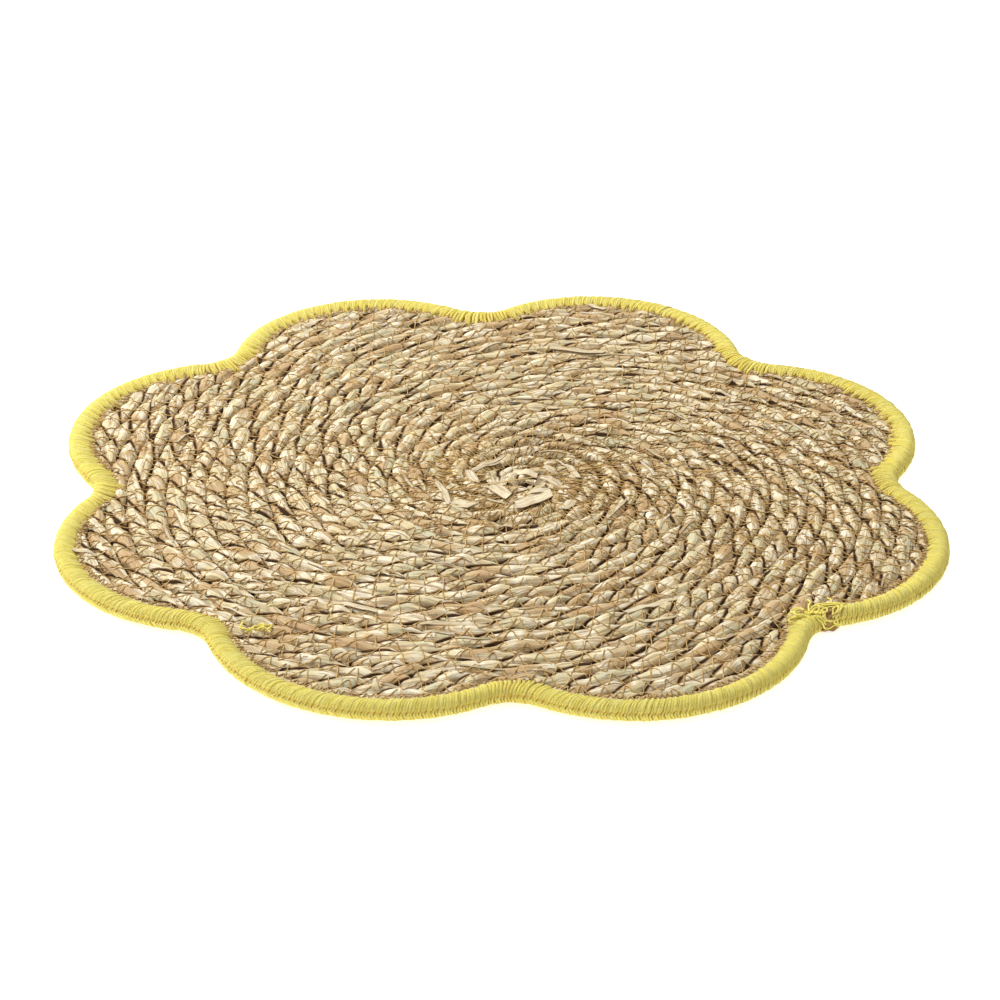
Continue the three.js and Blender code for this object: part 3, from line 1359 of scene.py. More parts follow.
        # deep drives the seagrass's painted shade between the two strands and in the groove between turns
        between = 0.5 - (angle - phase).cosine() * 0.5
        rope = shape.stored(rope, "deep", between.at_least(border * self.groove_shade))
        shape.finished(rope, material, self.crisp_from)
        return shape

    def build(self, material: Material, press: Press) -> list[Object]:
        """Makes the rope in pieces of like length, from the middle of the mat outwards.

        Args:
            material: The rope's finish.
            press: Flattens it at the bound edge.

        Returns:
            The pieces.
        """
        course, values = self._course()
        shape = self._shape(material)
        count = len(course.along)
        cuts = np.linspace(0, count - 1, len(self.piece_names) + 1).astype(int)
        pieces = []
        for name, first, last in zip(self.piece_names, cuts[:-1], cuts[1:]):
            rows = slice(first, last + 1)
            carried = {key: value[rows] for key, value in values.items()}
            source = path_mesh(name + "_line", course.middle[rows], course.runs[rows], **carried)
            piece = shape.grow(name, source)
            press.apply(piece.data)
            pieces.append(piece)
        return pieces


@dataclass
class Press:
    """Squeezes what reaches into the bound edge, as the sewing does."""

    coil: Coil
    least_depth: float = 3.3 * MM
    flat_from: float = 12.0 * MM
    flat_to: float = 8.5 * MM
    flat_share: float = 0.55
    flat_height: float = 3.9 * MM
    rise_from: float = 4 * MM
    least_height: float = 0.02 * MM

    def apply(self, mesh: Mesh) -> None:
        """Moves the mesh's points.

        Args:
            mesh: A mesh of the rope.
        """
        points = points_of(mesh)
        depth, outward = self.coil.outline.depth(points)
        short = np.clip(self.least_depth - depth, 0, None)
        points[:, :2] -= outward * short[:, None]
        flat = smoothstep(-self.flat_from, -self.flat_to, -depth)
        height = points[:, 2]
        pressed = self.flat_height + (height - self.coil.rope_height) * self.flat_share
        height = height * (1 - flat) + pressed * flat
        height = height + self.coil.rise(points) * smoothstep(0, self.rise_from, height)
        points[:, 2] = np.maximum(height, self.least_height)
        place_points(mesh, points)


@dataclass
class CoilCore:
    """The flattened leaf that fills the mat under and between the turns, to its cut edge, its dark brown
    a painted shade for the gaps.
    """

    coil: Coil
    low: float = 2.4 * MM
    high: float = 3.9 * MM
    edge_depth: float = 3.7 * MM
    rings: int = 30
    innermost: float = 0.01
    places: int = 240

    def build(self, material: Material) -> Object:
        """Makes the slab as rings from the middle's underside over the edge to the middle's top.

        Args:
            material: Its finish.

        Returns:
            The piece.
        """
        outline = self.coil.outline
        found = outline.at(np.arange(self.places) * outline.length / self.places)
        edge = found.base - found.outward * self.edge_depth
        middle = np.array(self.coil.start)
        shares = np.linspace(self.innermost, 1, self.rings)
        plans = [middle + (edge - middle) * share for share in (*shares, *shares[::-1])]
        heights = [self.low] * self.rings + [self.high] * self.rings
        rings = [np.column_stack([plan, np.full(self.places, z)]) for plan, z in zip(plans, heights)]
        mesh = swept_mesh("coil_core", np.array(rings), closed=False)
        return add_object("coil_core", mesh, material)

    @property
    def area(self) -> float:
        """Flat area of the cut mat.

        Returns:
            Square metres.
        """
        outline = self.coil.outline
        base = outline.fine.base - outline.fine.outward * self.edge_depth
        x, y = base.T
        return float(abs(np.sum(x[:-1] * y[1:] - x[1:] * y[:-1])) / 2)


@dataclass
class ZigzagSeam:
    """The thread that joins each turn to the next, zigzag over the groove between them."""

    coil: Coil
    step: float = 0.8 * MM
    reach: float = 4.9 * MM
    swings: Pair = (0.72, 1.12)
    leg: float = 4.4 * MM
    leg_change: Wander = Wander(0.25, 60 * MM, 21)
    right_from: float = 0.2
    right_to: float = 0.9
    right_shorter: float = 0.22
    tight_leg: float = 2.3 * MM
    tight_reach: float = 30 * MM
    heart: float = 5 * MM
    again_to: float = 30 * MM
    again_shift: float = 0.43
    thread_radius: float = 0.29 * MM
    sides: int = 3
    blur: int = 5
    lift: float = 0.2 * MM
    hole: float = 0.6 * MM
    hole_from: float = 0.43
    edge_margin: float = 7.5 * MM

    def _shape(self, reach: float, bed: Object, material: Material) -> Shape:
        """The node tree that swings the thread to and fro and lets it down onto the rope.

        Args:
            reach: How far the thread swings to each side.
            bed: What it lies on.
            material: Its finish.

        Returns:
            The tree.
        """
        shape = Shape("zigzag_thread", self, reach=reach, bed=bed)
        leg = shape.attribute("leg")
        stitch = leg.floor()
        share = leg - stitch
        sign = 1 - (stitch % 2.0) * 2
        start = sign * shape.size("reach") * shape.random(self.swings, stitch, seed=3)
        end = sign * shape.size("reach") * shape.random(self.swings, stitch + 1.0, seed=3) * -1.0
        swing = shape.attribute("side", "FLOAT_VECTOR") * start.toward(end, share)
        swung = shape.moved(shape.curve(shape.source()), shape.position() + swing)
        hole = (share - 0.5).unsigned().rise(self.hole_from, 0.5) * shape.size("hole")
        dropped = shape.laid(swung, self.blur)
        sewn = shape.moved(dropped, shape.higher(shape.size("lift") - hole))
        shape.thread(sewn, shape.size("thread_radius"), self.sides, material)
        return shape

    def line(self, again: bool = False) -> Mesh:
        """The groove between the turns, with the count of stitches that its points carry.

        Args:
            again: Whether this is the second pass, over the middle of the mat alone.

        Returns:
            The line's points and edges.
        """
        coil = self.coil
        phase = coil.seam_phase + again * self.again_shift
        course = coil.course(phase, self.step, self.edge_margin)
        reach = coil.width(course.turned) * course.turned / FULL_TURN
        kept = (reach > self.heart) & ((reach < self.again_to) | (not again))
        course = Course(*(rows[kept] for rows in course))
        tight = smoothstep(-2 * self.tight_reach, -self.tight_reach, -reach[kept])
        right = smoothstep(self.right_from, self.right_to, np.cos(course.turned))
        length = self.leg * (1 - right * self.right_shorter) * (1 - tight) + self.tight_leg * tight
        length = length * (1 + self.leg_change.at(course.along))
        leg = np.cumsum(self.step / length)
        carried = {"side": course.side, "leg": leg, "along": course.along}
        return path_mesh("seam_line", course.middle, course.runs, **carried)

    def build(self, name: str, line: Mesh, reach: float, bed: Object, material: Material) -> Object:
        """Sews a thread along a line.

        Args:
            name: The piece's name.
            line: The line's points with side, leg and along.
            reach: How far the thread swings to each side.
            bed: What the thread lies on.
            material: The thread's finish.

        Returns:
            The piece.
        """
        return self._shape(reach, bed, material).grow(name, line)


class Layer(NamedTuple):
    """One layer of the binding's yarn: angles in degrees where its strands start and end."""

    piece: str
    start: float
    end: float
    sides: int
    points: int
    seed: int
    upper: bool


@dataclass
class EdgeBinding:
    """The yellow binding: a padded sheath with close strands of yarn sewn over it in bundles.

    Angles in degrees go round its section from the outer side, upwards over the top. A strand
    goes round up to round_share of its length, and the rest of it is tucked into the mat.
    """

    outline: Outline
    width: float = 8.6 * MM
    height: float = 8.4 * MM
    lip_height: float = 5.9 * MM
    under_share: float = 0.25
    join_gap: float = 2.0 * MM
    sheath_step: float = 2.4 * MM
    sheath_inset: float = 0.95 * MM
    sheath_end: float = 178.0
    sheath_corners: int = 17
    pocket_mouth: float = 3.4 * MM
    pocket_low: float = 1.7 * MM
    pocket_high: float = 5.6 * MM
    pitch: float = 1.2 * MM
    pitch_change: float = 0.15 * MM
    first_at: float = 0.5 * MM
    yarn_radius: float = 0.78 * MM
    yarn_change: Pair = (0.84, 1.12)
    under_yarn: float = 0.88
    thinner_end: float = 0.4
    thinner_start: float = 0.3
    layers: tuple[Layer, Layer] = (
        Layer("binding_yarn_upper", 13.0, 178.0, 5, 12, 31, True),
        Layer("binding_yarn_lower", 31.0, -176.0, 4, 8, 32, False),
    )
    meet_share: float = 0.13
    meet_shade: float = 0.55
    start_change: float = 4.0
    end_change: float = 3.0
    round_share: float = 0.88
    dive: float = 0.5 * MM
    slack: float = 0.22 * MM
    uneven: float = 0.13 * MM
    slant: float = 3.4 * MM
    slant_by: float = 2.2
    tuck: float = 2.0 * MM
    near_reach: float = 1.2 * MM
    far_reach: float = 4.0 * MM
    reach_from: float = -130 * MM
    reach_to: float = 60 * MM
    reach_change: Pair = (0.35, 1.3)
    reach_span: Pair = (0.5, 0.95)
    bundle_round: float = 0.75
    notch_tuck: float = 2.2 * MM
    notch_length: float = 9 * MM
    pinch: float = 0.55
    pinch_span: Pair = (0.62, 0.95)
    rim_span: Pair = (0.6, 0.92)
    rim_shade: float = 0.34
    end_span: Pair = (0.84, 1.0)
    noise_length: float = 12 * MM
    wide_bundle: int = 4
    narrow_bundle: int = 2
    wide_from: float = 30 * MM

    def _section(self, angle: Rows, inset: float) -> Rows:
        """Points of the binding's section at angles round its middle, as offset and height.

        Args:
            angle: Angles in radians.
            inset: How far inside the section they lie.

        Returns:
            Rows of offset and height.
        """
        half_width, half_height = self.width / 2, self.height / 2
        over = np.cos(angle) < 0
        top_share = (self.height - self.lip_height) / half_height
        drop = np.where(over, np.where(np.sin(angle) > 0, top_share, self.under_share), 1.0)
        level = np.sign(np.sin(angle)) * (1 - (1 - np.abs(np.sin(angle))) * drop)
        offset = -half_width + (half_width - inset) * np.cos(angle)
        return np.stack([offset, half_height + (half_height - inset) * level], axis=-1)

    def _sheath(self, material: Material) -> Object:
        """The closed body under the yarn, open towards the mat, in painted shade all over so that gaps
        between strands show shade.

        Args:
            material: Its finish.

        Returns:
            The piece.
        """
        usable = self.outline.length - self.join_gap
        count = round(usable / self.sheath_step)
        places = self.outline.at(self.join_gap / 2 + np.linspace(0, usable, count))
        angles = np.linspace(-self.sheath_end, self.sheath_end, self.sheath_corners)
        outside = self._section(np.radians(angles), self.sheath_inset)
        offsets = -np.array([self.width, self.pocket_mouth, self.pocket_mouth, self.width])
        heights = [self.pocket_high, self.pocket_high, self.pocket_low, self.pocket_low]
        section = np.concatenate([outside, np.column_stack([offsets, heights])])
        rings = places.rings(*section.T)
        # groove 1 paints the whole sheath in the yarn's shade colour, as painted shade between the
        # strands
        mesh = swept_mesh("binding_sheath", rings, closed=False, groove=np.ones(rings[..., 0].size))
        return add_object("binding_sheath", mesh, material)

    def _shape(self, layer: Layer, material: Material) -> Shape:
        """The node tree that lays a strand of yarn at each place, from the outer line inwards.

        Args:
            layer: The layer of yarn.
            material: The yarn's finish.

        Returns:
            The tree.
        """
        shape = Shape(
            "bound_yarn",
            self,
            points=layer.points,
            half_width=self.width / 2 - self.yarn_radius,
            half_height=self.height / 2 - self.yarn_radius - self.slack,
            middle_height=self.height / 2,
            middle_offset=self.width / 2,
            lip_share=(self.height - self.lip_height) / (self.height / 2),
        )
        size = shape.size
        turn = shape.value("GeometryNodeMeshLine", {"Count": size("points")}, {"mode": "OFFSET"})
        turn, step = shape.kept(turn, shape.index())
        spots = shape.value("GeometryNodeMeshToPoints", {"Mesh": shape.source()})
        laid = shape.value("GeometryNodeInstanceOnPoints", {"Points": spots, "Instance": turn})
        real = shape.value("GeometryNodeRealizeInstances", {"Geometry": laid})
        share = step / (size("points") - 1.0)
        strip, upper = shape.attribute("strip"), shape.attribute("upper")
        meeting = share.rise(self.meet_share, 0.0)
        # Round the section, flattened over the mat
        turned = (share / size("round_share")).at_most(1.0)
        angle = shape.attribute("first").toward(shape.attribute("last"), turned) * (math.pi / 180)
        height_share, width_share = angle.sine(), angle.cosine()
        over = 1 - width_share.above(0.0)
        sign = upper * 2 - 1
        drop = (size("under_share") * over).toward(size("lip_share"), upper)
        folded = sign * (1 - (1 - height_share.unsigned()) * drop)
        level = height_share.toward(folded, over)
        uneven = shape.random((-self.uneven, self.uneven), strip, seed=5) - meeting * size("dive")
        # The end's reach into the mat, longest in the middle of a bundle
        middle = 1 - shape.attribute("within") * shape.attribute("within") * self.bundle_round
        inward = shape.attribute("reach") * middle * shape.random(self.reach_change, strip, seed=6)
        inward = (inward + shape.attribute("notch")) * share.rise(*self.reach_span) * upper
        offset = width_share * (size("half_width") + uneven) - size("middle_offset") - inward
        height = size("middle_height") + level * (size("half_height") + uneven)
        past = (share - size("round_share")) / (1 - size("round_share"))
        height = height - past.at_least(0.0) * upper * size("tuck")
        spread = (angle.unsigned() / self.slant_by).at_most(1.0)
        pinch = meeting.at_least(share.rise(*self.pinch_span) * upper) * size("pinch")
        forward = size("slant") * spread - shape.attribute("pair") * pinch
        outward = shape.attribute("side", "FLOAT_VECTOR")
        ahead = shape.attribute("tangent", "FLOAT_VECTOR")
        base = shape.attribute("base", "FLOAT_VECTOR")
        place = base + outward * offset + ahead * forward + shape.vector(0.0, 0.0, height)
        line = shape.curve(shape.moved(real, place))
        line = shape.stored(line, "along", share * self.noise_length)
        # Painted shade where the upper and lower strands meet, where a strand tucks into the mat, and
        # over the inner part of the rim
        ends = (meeting * self.meet_shade).at_least(share.rise(*self.end_span))
        line = shape.stored(line, "groove", ends.at_least(share.rise(*self.rim_span) * self.rim_shade))
        thick = size("yarn_radius") * (1 - self.thinner_end * share.rise(0.8, 1.0))
        thick = thick * (1 - self.thinner_start * meeting)
        thick = thick * shape.random(self.yarn_change, strip, seed=8)
        thick = thick * (self.under_yarn + (1 - self.under_yarn) * upper)
        facing = outward * width_share + shape.vector(0.0, 0.0, height_share)
        shape.thread(line, thick, layer.sides, material, facing)
        return shape

    def _strands(self, layer: Layer) -> Mesh:
        """The places of the strands and what each carries.

        Args:
            layer: The layer of yarn.

        Returns:
            A mesh of loose points.
        """
        usable = self.outline.length - self.join_gap - self.slant
        count = int(usable / self.pitch / self.wide_bundle) * self.wide_bundle
        number = np.arange(count)
        rng = np.random.default_rng(layer.seed)
        along = self.join_gap / 2 + self.first_at + number * usable / count
        along = along + rng.uniform(-self.pitch_change, self.pitch_change, count)
        places = self.outline.at(along)
        # At the back four strands share a needle hole, and elsewhere two
        middles = places.base[self.wide_bundle // 2 :: self.wide_bundle, 1]
        wide = np.repeat(middles, self.wide_bundle) > self.wide_from
        size = np.where(wide, self.wide_bundle, self.narrow_bundle)
        within = (number % size - (size - 1) / 2) / (size / 2)
        level = np.zeros((count, 1))
        outward = np.hstack([places.outward, level])
        apart = np.abs(along[:, None] - self.outline.notches_along[None, :]).min(axis=1)
        far = smoothstep(self.reach_from, self.reach_to, places.base[:, 1])
        base = np.hstack([places.base, level])
        return path_mesh(
            "strands",
            base,
            number,
            base=base,
            side=outward,
            tangent=np.stack([-outward[:, 1], outward[:, 0], level[:, 0]], axis=1),
            pair=within * size / 2 * self.pitch,
            within=within,
            notch=self.notch_tuck * smoothstep(-self.notch_length, 0, -apart),
            reach=self.near_reach + (self.far_reach - self.near_reach) * far,
            strip=number,
            upper=np.full(count, layer.upper),
            first=layer.start + rng.uniform(-self.start_change, self.start_change, count),
            last=layer.end + rng.uniform(-self.end_change, self.end_change, count),
        )

    def build(self, material: Material) -> list[Object]:
        """Makes the sheath, the yarn over the top and the yarn round the underside.

        Args:
            material: Their finish.

        Returns:
            The three pieces.
        """
        sheath = self._sheath(material)
        yarn = [self._shape(row, material).grow(row.piece, self._strands(row)) for row in self.layers]
        return [sheath, *yarn]


@dataclass
class CrushedBand:
    """The strip of crushed rope just inside the bound edge, and the close stitches over it.

    The profile's points are millimetres into the mat and up.
    """

    outline: Outline
    profile: tuple[Pair, ...] = ((7.6, 4.2), (8.0, 5.8), (9.4, 6.2), (11.0, 5.8), (12.0, 4.2))
    step: float = 1.1 * MM
    rough: float = 0.45 * MM
    rough_above: float = 5 * MM
    leaf_edge: float = 0.7
    leaf_apart: float = 1.7
    deep: Pair = (0.2, 0.45)
    seed: int = 61
    stitch_depth: float = 10.2 * MM
    stitch_reach: float = 1.4 * MM
    stitch_leg: float = 1.5 * MM
    stitch_change: Wander = Wander(0.35, 9 * MM, 63)
    stitch_step: float = 0.42 * MM

    def build(self, material: Material) -> Object:
        """Makes the band, ragged along its length.

        Args:
            material: Its finish.

        Returns:
            The piece.
        """
        outline = self.outline
        count = round(outline.length / self.step)
        places = outline.at(np.arange(count) * outline.length / count)
        rng = np.random.default_rng(self.seed)
        size = len(self.profile)
        depth, height = (np.array(column) * MM for column in zip(*self.profile))
        depth = depth + self.rough * rng.uniform(-1, 1, (count, size))
        height = height + self.rough * rng.uniform(-1, 1, (count, size)) * (height > self.rough_above)
        mesh = swept_mesh(
            "crushed_band",
            places.rings(-depth, height),
            closed=True,
            along=np.repeat(places.along, size),
            across=np.tile(np.linspace(-self.leaf_edge, self.leaf_edge, size), count),
            strip=np.tile(np.arange(size) * self.leaf_apart, count),
            deep=rng.uniform(*self.deep, count * size),
        )
        return add_object("crushed_band", mesh, material)

    def seam_line(self) -> Mesh:
        """The middle line of the close stitches, with what each point carries.

        Returns:
            The line's points and edges.
        """
        along = np.arange(0, self.outline.length, self.stitch_step)
        places = self.outline.at(along)
        base = places.base - places.outward * self.stitch_depth
        level = np.zeros((len(along), 1))
        leg = np.cumsum(self.stitch_step / (self.stitch_leg * (1 + self.stitch_change.at(along))))
        carried = {"side": np.hstack([places.outward, level]), "leg": leg, "along": along}
        return path_mesh("edge_seam_line", np.hstack([base, level]), level[:, 0], **carried)


class Leaf(NamedTuple):
    """A loose flat bit on the mat: its middle and size in millimetres, its heading in degrees."""

    x: float
    y: float
    heading: float
    length: float
    width: float = 0.0

    @property
    def ahead(self) -> Rows:
        """The unit vector along it."""
        return ray(math.radians(self.heading))

    @property
    def aside(self) -> Rows:
        """The unit vector to its left."""
        return np.array([-self.ahead[1], self.ahead[0]])

    def plan(self, share: Rows, bow: Rows) -> Rows:
        """Points along it in plan, in metres.

        Args:
            share: Shares of its length, from its middle.
            bow: How far the points lie to the left, in millimetres.

        Returns:
            Rows of x and y.
        """
        straight = self.ahead * (share * self.length)[:, None]
        return (np.array([self.x, self.y]) + straight + self.aside * bow[:, None]) * MM


@dataclass
class LooseLeaves:
    """Flat blades and cut ends that lie on the rope, a few where they show and many small ones.

    Sizes of the scattered ones are in millimetres, and their angles in degrees.
    """

    coil: Coil
    placed: tuple[Leaf, ...] = (
        Leaf(14.5, -17.5, 39, 19, 7.2),
        Leaf(0.5, -10.5, -54, 13, 6.4),
        Leaf(-14.5, -22.5, -20, 9, 7.5),
        Leaf(-23, -13, -75, 22, 2.8),
        Leaf(-11, 3, -75, 12, 4.2),
        Leaf(28.3, -21.5, 60, 8, 4.8),
        Leaf(23, -3, -45, 10, 4.2),
        Leaf(11, 6, -35, 12, 4.6),
        Leaf(15.5, -3, 5, 8, 5.4),
        Leaf(2, -2, 84, 8, 3.6),
        Leaf(17, -10, 30, 9, 3.4),
        Leaf(22, 8, -50, 10, 4.0),
        Leaf(-4.5, 14, 42, 18, 2.4),
        Leaf(-6, 11, 36, 15, 2.2),
        Leaf(30, 8, -62, 12, 3.0),
        Leaf(62, -98, 38, 30, 3.0),
        Leaf(-16, -118, 2, 26, 3.0),
        Leaf(-58, -104, -24, 26, 3.0),
        Leaf(34, 124, -8, 24, 3.0),
        Leaf(-164, -67, -8, 10, 3.0),
        Leaf(43.5, 168.5, -40, 9, 2.8),
    )
    blades: int = 110
    scatter_reach: float = 180.0
    scatter_lean: float = 10.0
    scatter_turn: float = 9.0
    scatter_length: Pair = (8, 18)
    scatter_width: Pair = (0.8, 1.7)
    seed: int = 71
    steps: int = 9
    bow: float = 0.05
    edge_margin: float = 14 * MM
    thickness: float = 0.22 * MM
    cup: float = 0.08 * MM
    clear: float = 0.13
    blur: int = 4
    cut: float = 0.5
    under_shade: float = 0.4
    bleach: float = 0.7
    crisp_from: float = 0.6

    def _leaves(self) -> list[Leaf]:
        """Every blade: those with their own places, then the scattered ones along the coil.

        Returns:
            The blades.
        """
        rng = np.random.default_rng(self.seed)
        start = np.array(self.coil.start) / MM
        leaves = list(self.placed)
        while len(leaves) < self.blades:
            spot = rng.uniform(-self.scatter_reach, self.scatter_reach, 2)
            if self.coil.outline.depth(spot[None, :] * MM)[0][0] < self.edge_margin:
                continue
            along = math.degrees(angle_to(start, spot)) + 90
            heading = along + self.scatter_lean + rng.normal(0, self.scatter_turn)
            size = (rng.uniform(*self.scatter_length), rng.uniform(*self.scatter_width))
            leaves.append(Leaf(*spot, heading, *size))
        return leaves

    def _lines(self) -> Mesh:
        """A line along each blade.

        Returns:
            The lines' points and edges.
        """
        leaves = self._leaves()
        share = np.linspace(-0.5, 0.5, self.steps)
        arch = self.bow * (1 - 4 * share**2)
        number = np.arange(len(leaves))
        length, width = (np.array(column) for column in list(zip(*leaves))[3:])
        # Each blade bows its own way, and its two ends are cut aslant
        bows = (np.sin(number * 2.4) * length)[:, None] * arch
        plan = np.concatenate([leaf.plan(share, bow) for leaf, bow in zip(leaves, bows)])
        slants = [leaf.aside + leaf.ahead * self.cut * (-1) ** k for k, leaf in enumerate(leaves)]
        side = np.repeat(np.array(slants), self.steps, axis=0)
        level = np.zeros(len(plan))
        return path_mesh(
            "leaf_lines",
            np.column_stack([plan, level]),
            np.repeat(number, self.steps),
            side=np.column_stack([side, level]),
            width=np.outer(width * MM, 1 - share**2).ravel(),
            strip=np.repeat(number * 1.3, self.steps),
            along=(np.outer(length, share + 0.5) * MM + number[:, None] * 0.05).ravel(),
            pale=np.repeat(number < len(self.placed), self.steps),
        )

    def build(self, bed: Object, material: Material) -> Object:
        """Makes the blades.

        Args:
            bed: What they lie on.
            material: Their finish.

        Returns:
            The piece.
        """
        shape = Shape("loose_blades", self, bed=bed)
        line = shape.laid(shape.curve(shape.source()), self.blur)
        width = shape.attribute("width")
        line, middle = shape.kept(line, shape.higher(width * shape.size("clear")))
        body, corner = shape.swept(line, 6)
        # Corners 0 to 2 lie on the top from edge to edge, and 3 to 5 on the underside back again
        under = corner.above(2.5)
        across = (corner - 1).toward(4 - corner, under)
        rise = shape.size("thickness") * (1.2 - under) + (1 - across * across) * shape.size("cup")
        side = shape.attribute("side", "FLOAT_VECTOR")
        blade = shape.moved(body, middle + side * (across * (width * 0.5)) + shape.vector(0.0, 0.0, rise))
        blade = shape.stored(blade, "across", across)
        blade = shape.stored(blade, "deep", under * self.under_shade)
        blade = shape.stored(blade, "bleach", shape.attribute("pale") * self.bleach)
        shape.finished(blade, material, self.crisp_from)
        return shape.grow("loose_leaves", self._lines())


@dataclass
class StrayFibres:
    """Fine hairs and thread ends that stick to the rope."""

    coil: Coil
    count: int = 1700
    steps: int = 5
    radius: float = 0.13 * MM
    sides: int = 3
    blur: int = 3
    lengths: Pair = (2.5 * MM, 8.0 * MM)
    bend: float = 0.9
    scatter_reach: float = 185 * MM
    dense_reach: float = 62 * MM
    outer_share: float = 0.45
    seed: int = 81
    edge_margin: float = 9 * MM

    def _lines(self) -> Mesh:
        """A short bent line for each fibre, denser in the middle of the mat.

        Returns:
            The lines' points and edges.
        """
        rng = np.random.default_rng(self.seed)
        spots = rng.uniform(-self.scatter_reach, self.scatter_reach, (self.count * 6, 2))
        reach = np.linalg.norm(spots - np.array(self.coil.start), axis=1)
        kept = self.coil.outline.depth(spots)[0] > self.edge_margin
        kept &= (reach < self.dense_reach) | (rng.random(len(spots)) < self.outer_share)
        spots = spots[kept][: self.count]
        size = len(spots)
        heading = rng.uniform(0, FULL_TURN, size)
        length = rng.uniform(*self.lengths, size)
        bend = rng.normal(0, self.bend, size)
        share = np.linspace(-0.5, 0.5, self.steps)
        far = np.outer(length, share)
        course = ray(heading[:, None] + np.outer(bend, share))
        plan = spots[:, None, :] + course * far[:, :, None]
        points = np.concatenate([plan, np.zeros((size, self.steps, 1))], axis=2).reshape(-1, 3)
        runs = np.repeat(np.arange(size), self.steps)
        along = (far + rng.uniform(0, 1, size)[:, None]).ravel()
        return path_mesh("fibre_lines", points, runs, along=along)

    def build(self, bed: Object, material: Material) -> Object:
        """Makes the fibres.

        Args:
            bed: What they lie on.
            material: Their finish.

        Returns:
            The piece.
        """
        shape = Shape("stray_fibres", self, bed=bed)
        radius = shape.size("radius")
        line = shape.laid(shape.curve(shape.source()), self.blur)
        shape.thread(shape.moved(line, shape.higher(radius * 1.4)), radius, self.sides, material)
        return shape.grow("stray_fibres", self._lines())


class Rim(NamedTuple):
    """The round of the binding's section in millimetres, for what lies on it or in it."""

    depth: float
    height: float
    half_width: float
    half_height: float
    lowest: float
    highest: float

    def at(self, angle: float | Rows, reach: float) -> tuple[Rows, Rows]:
        """Depth and height at an angle from the outer side upwards, with 1 as the full reach."""
        depth = self.depth - self.half_width * reach * np.cos(angle)
        return depth, self.height + self.half_height * reach * np.sin(angle)

    def within(self, height: Rows) -> Rows:
        """Heights that are kept between the lowest and the highest."""
        return np.clip(height, self.lowest, self.highest)


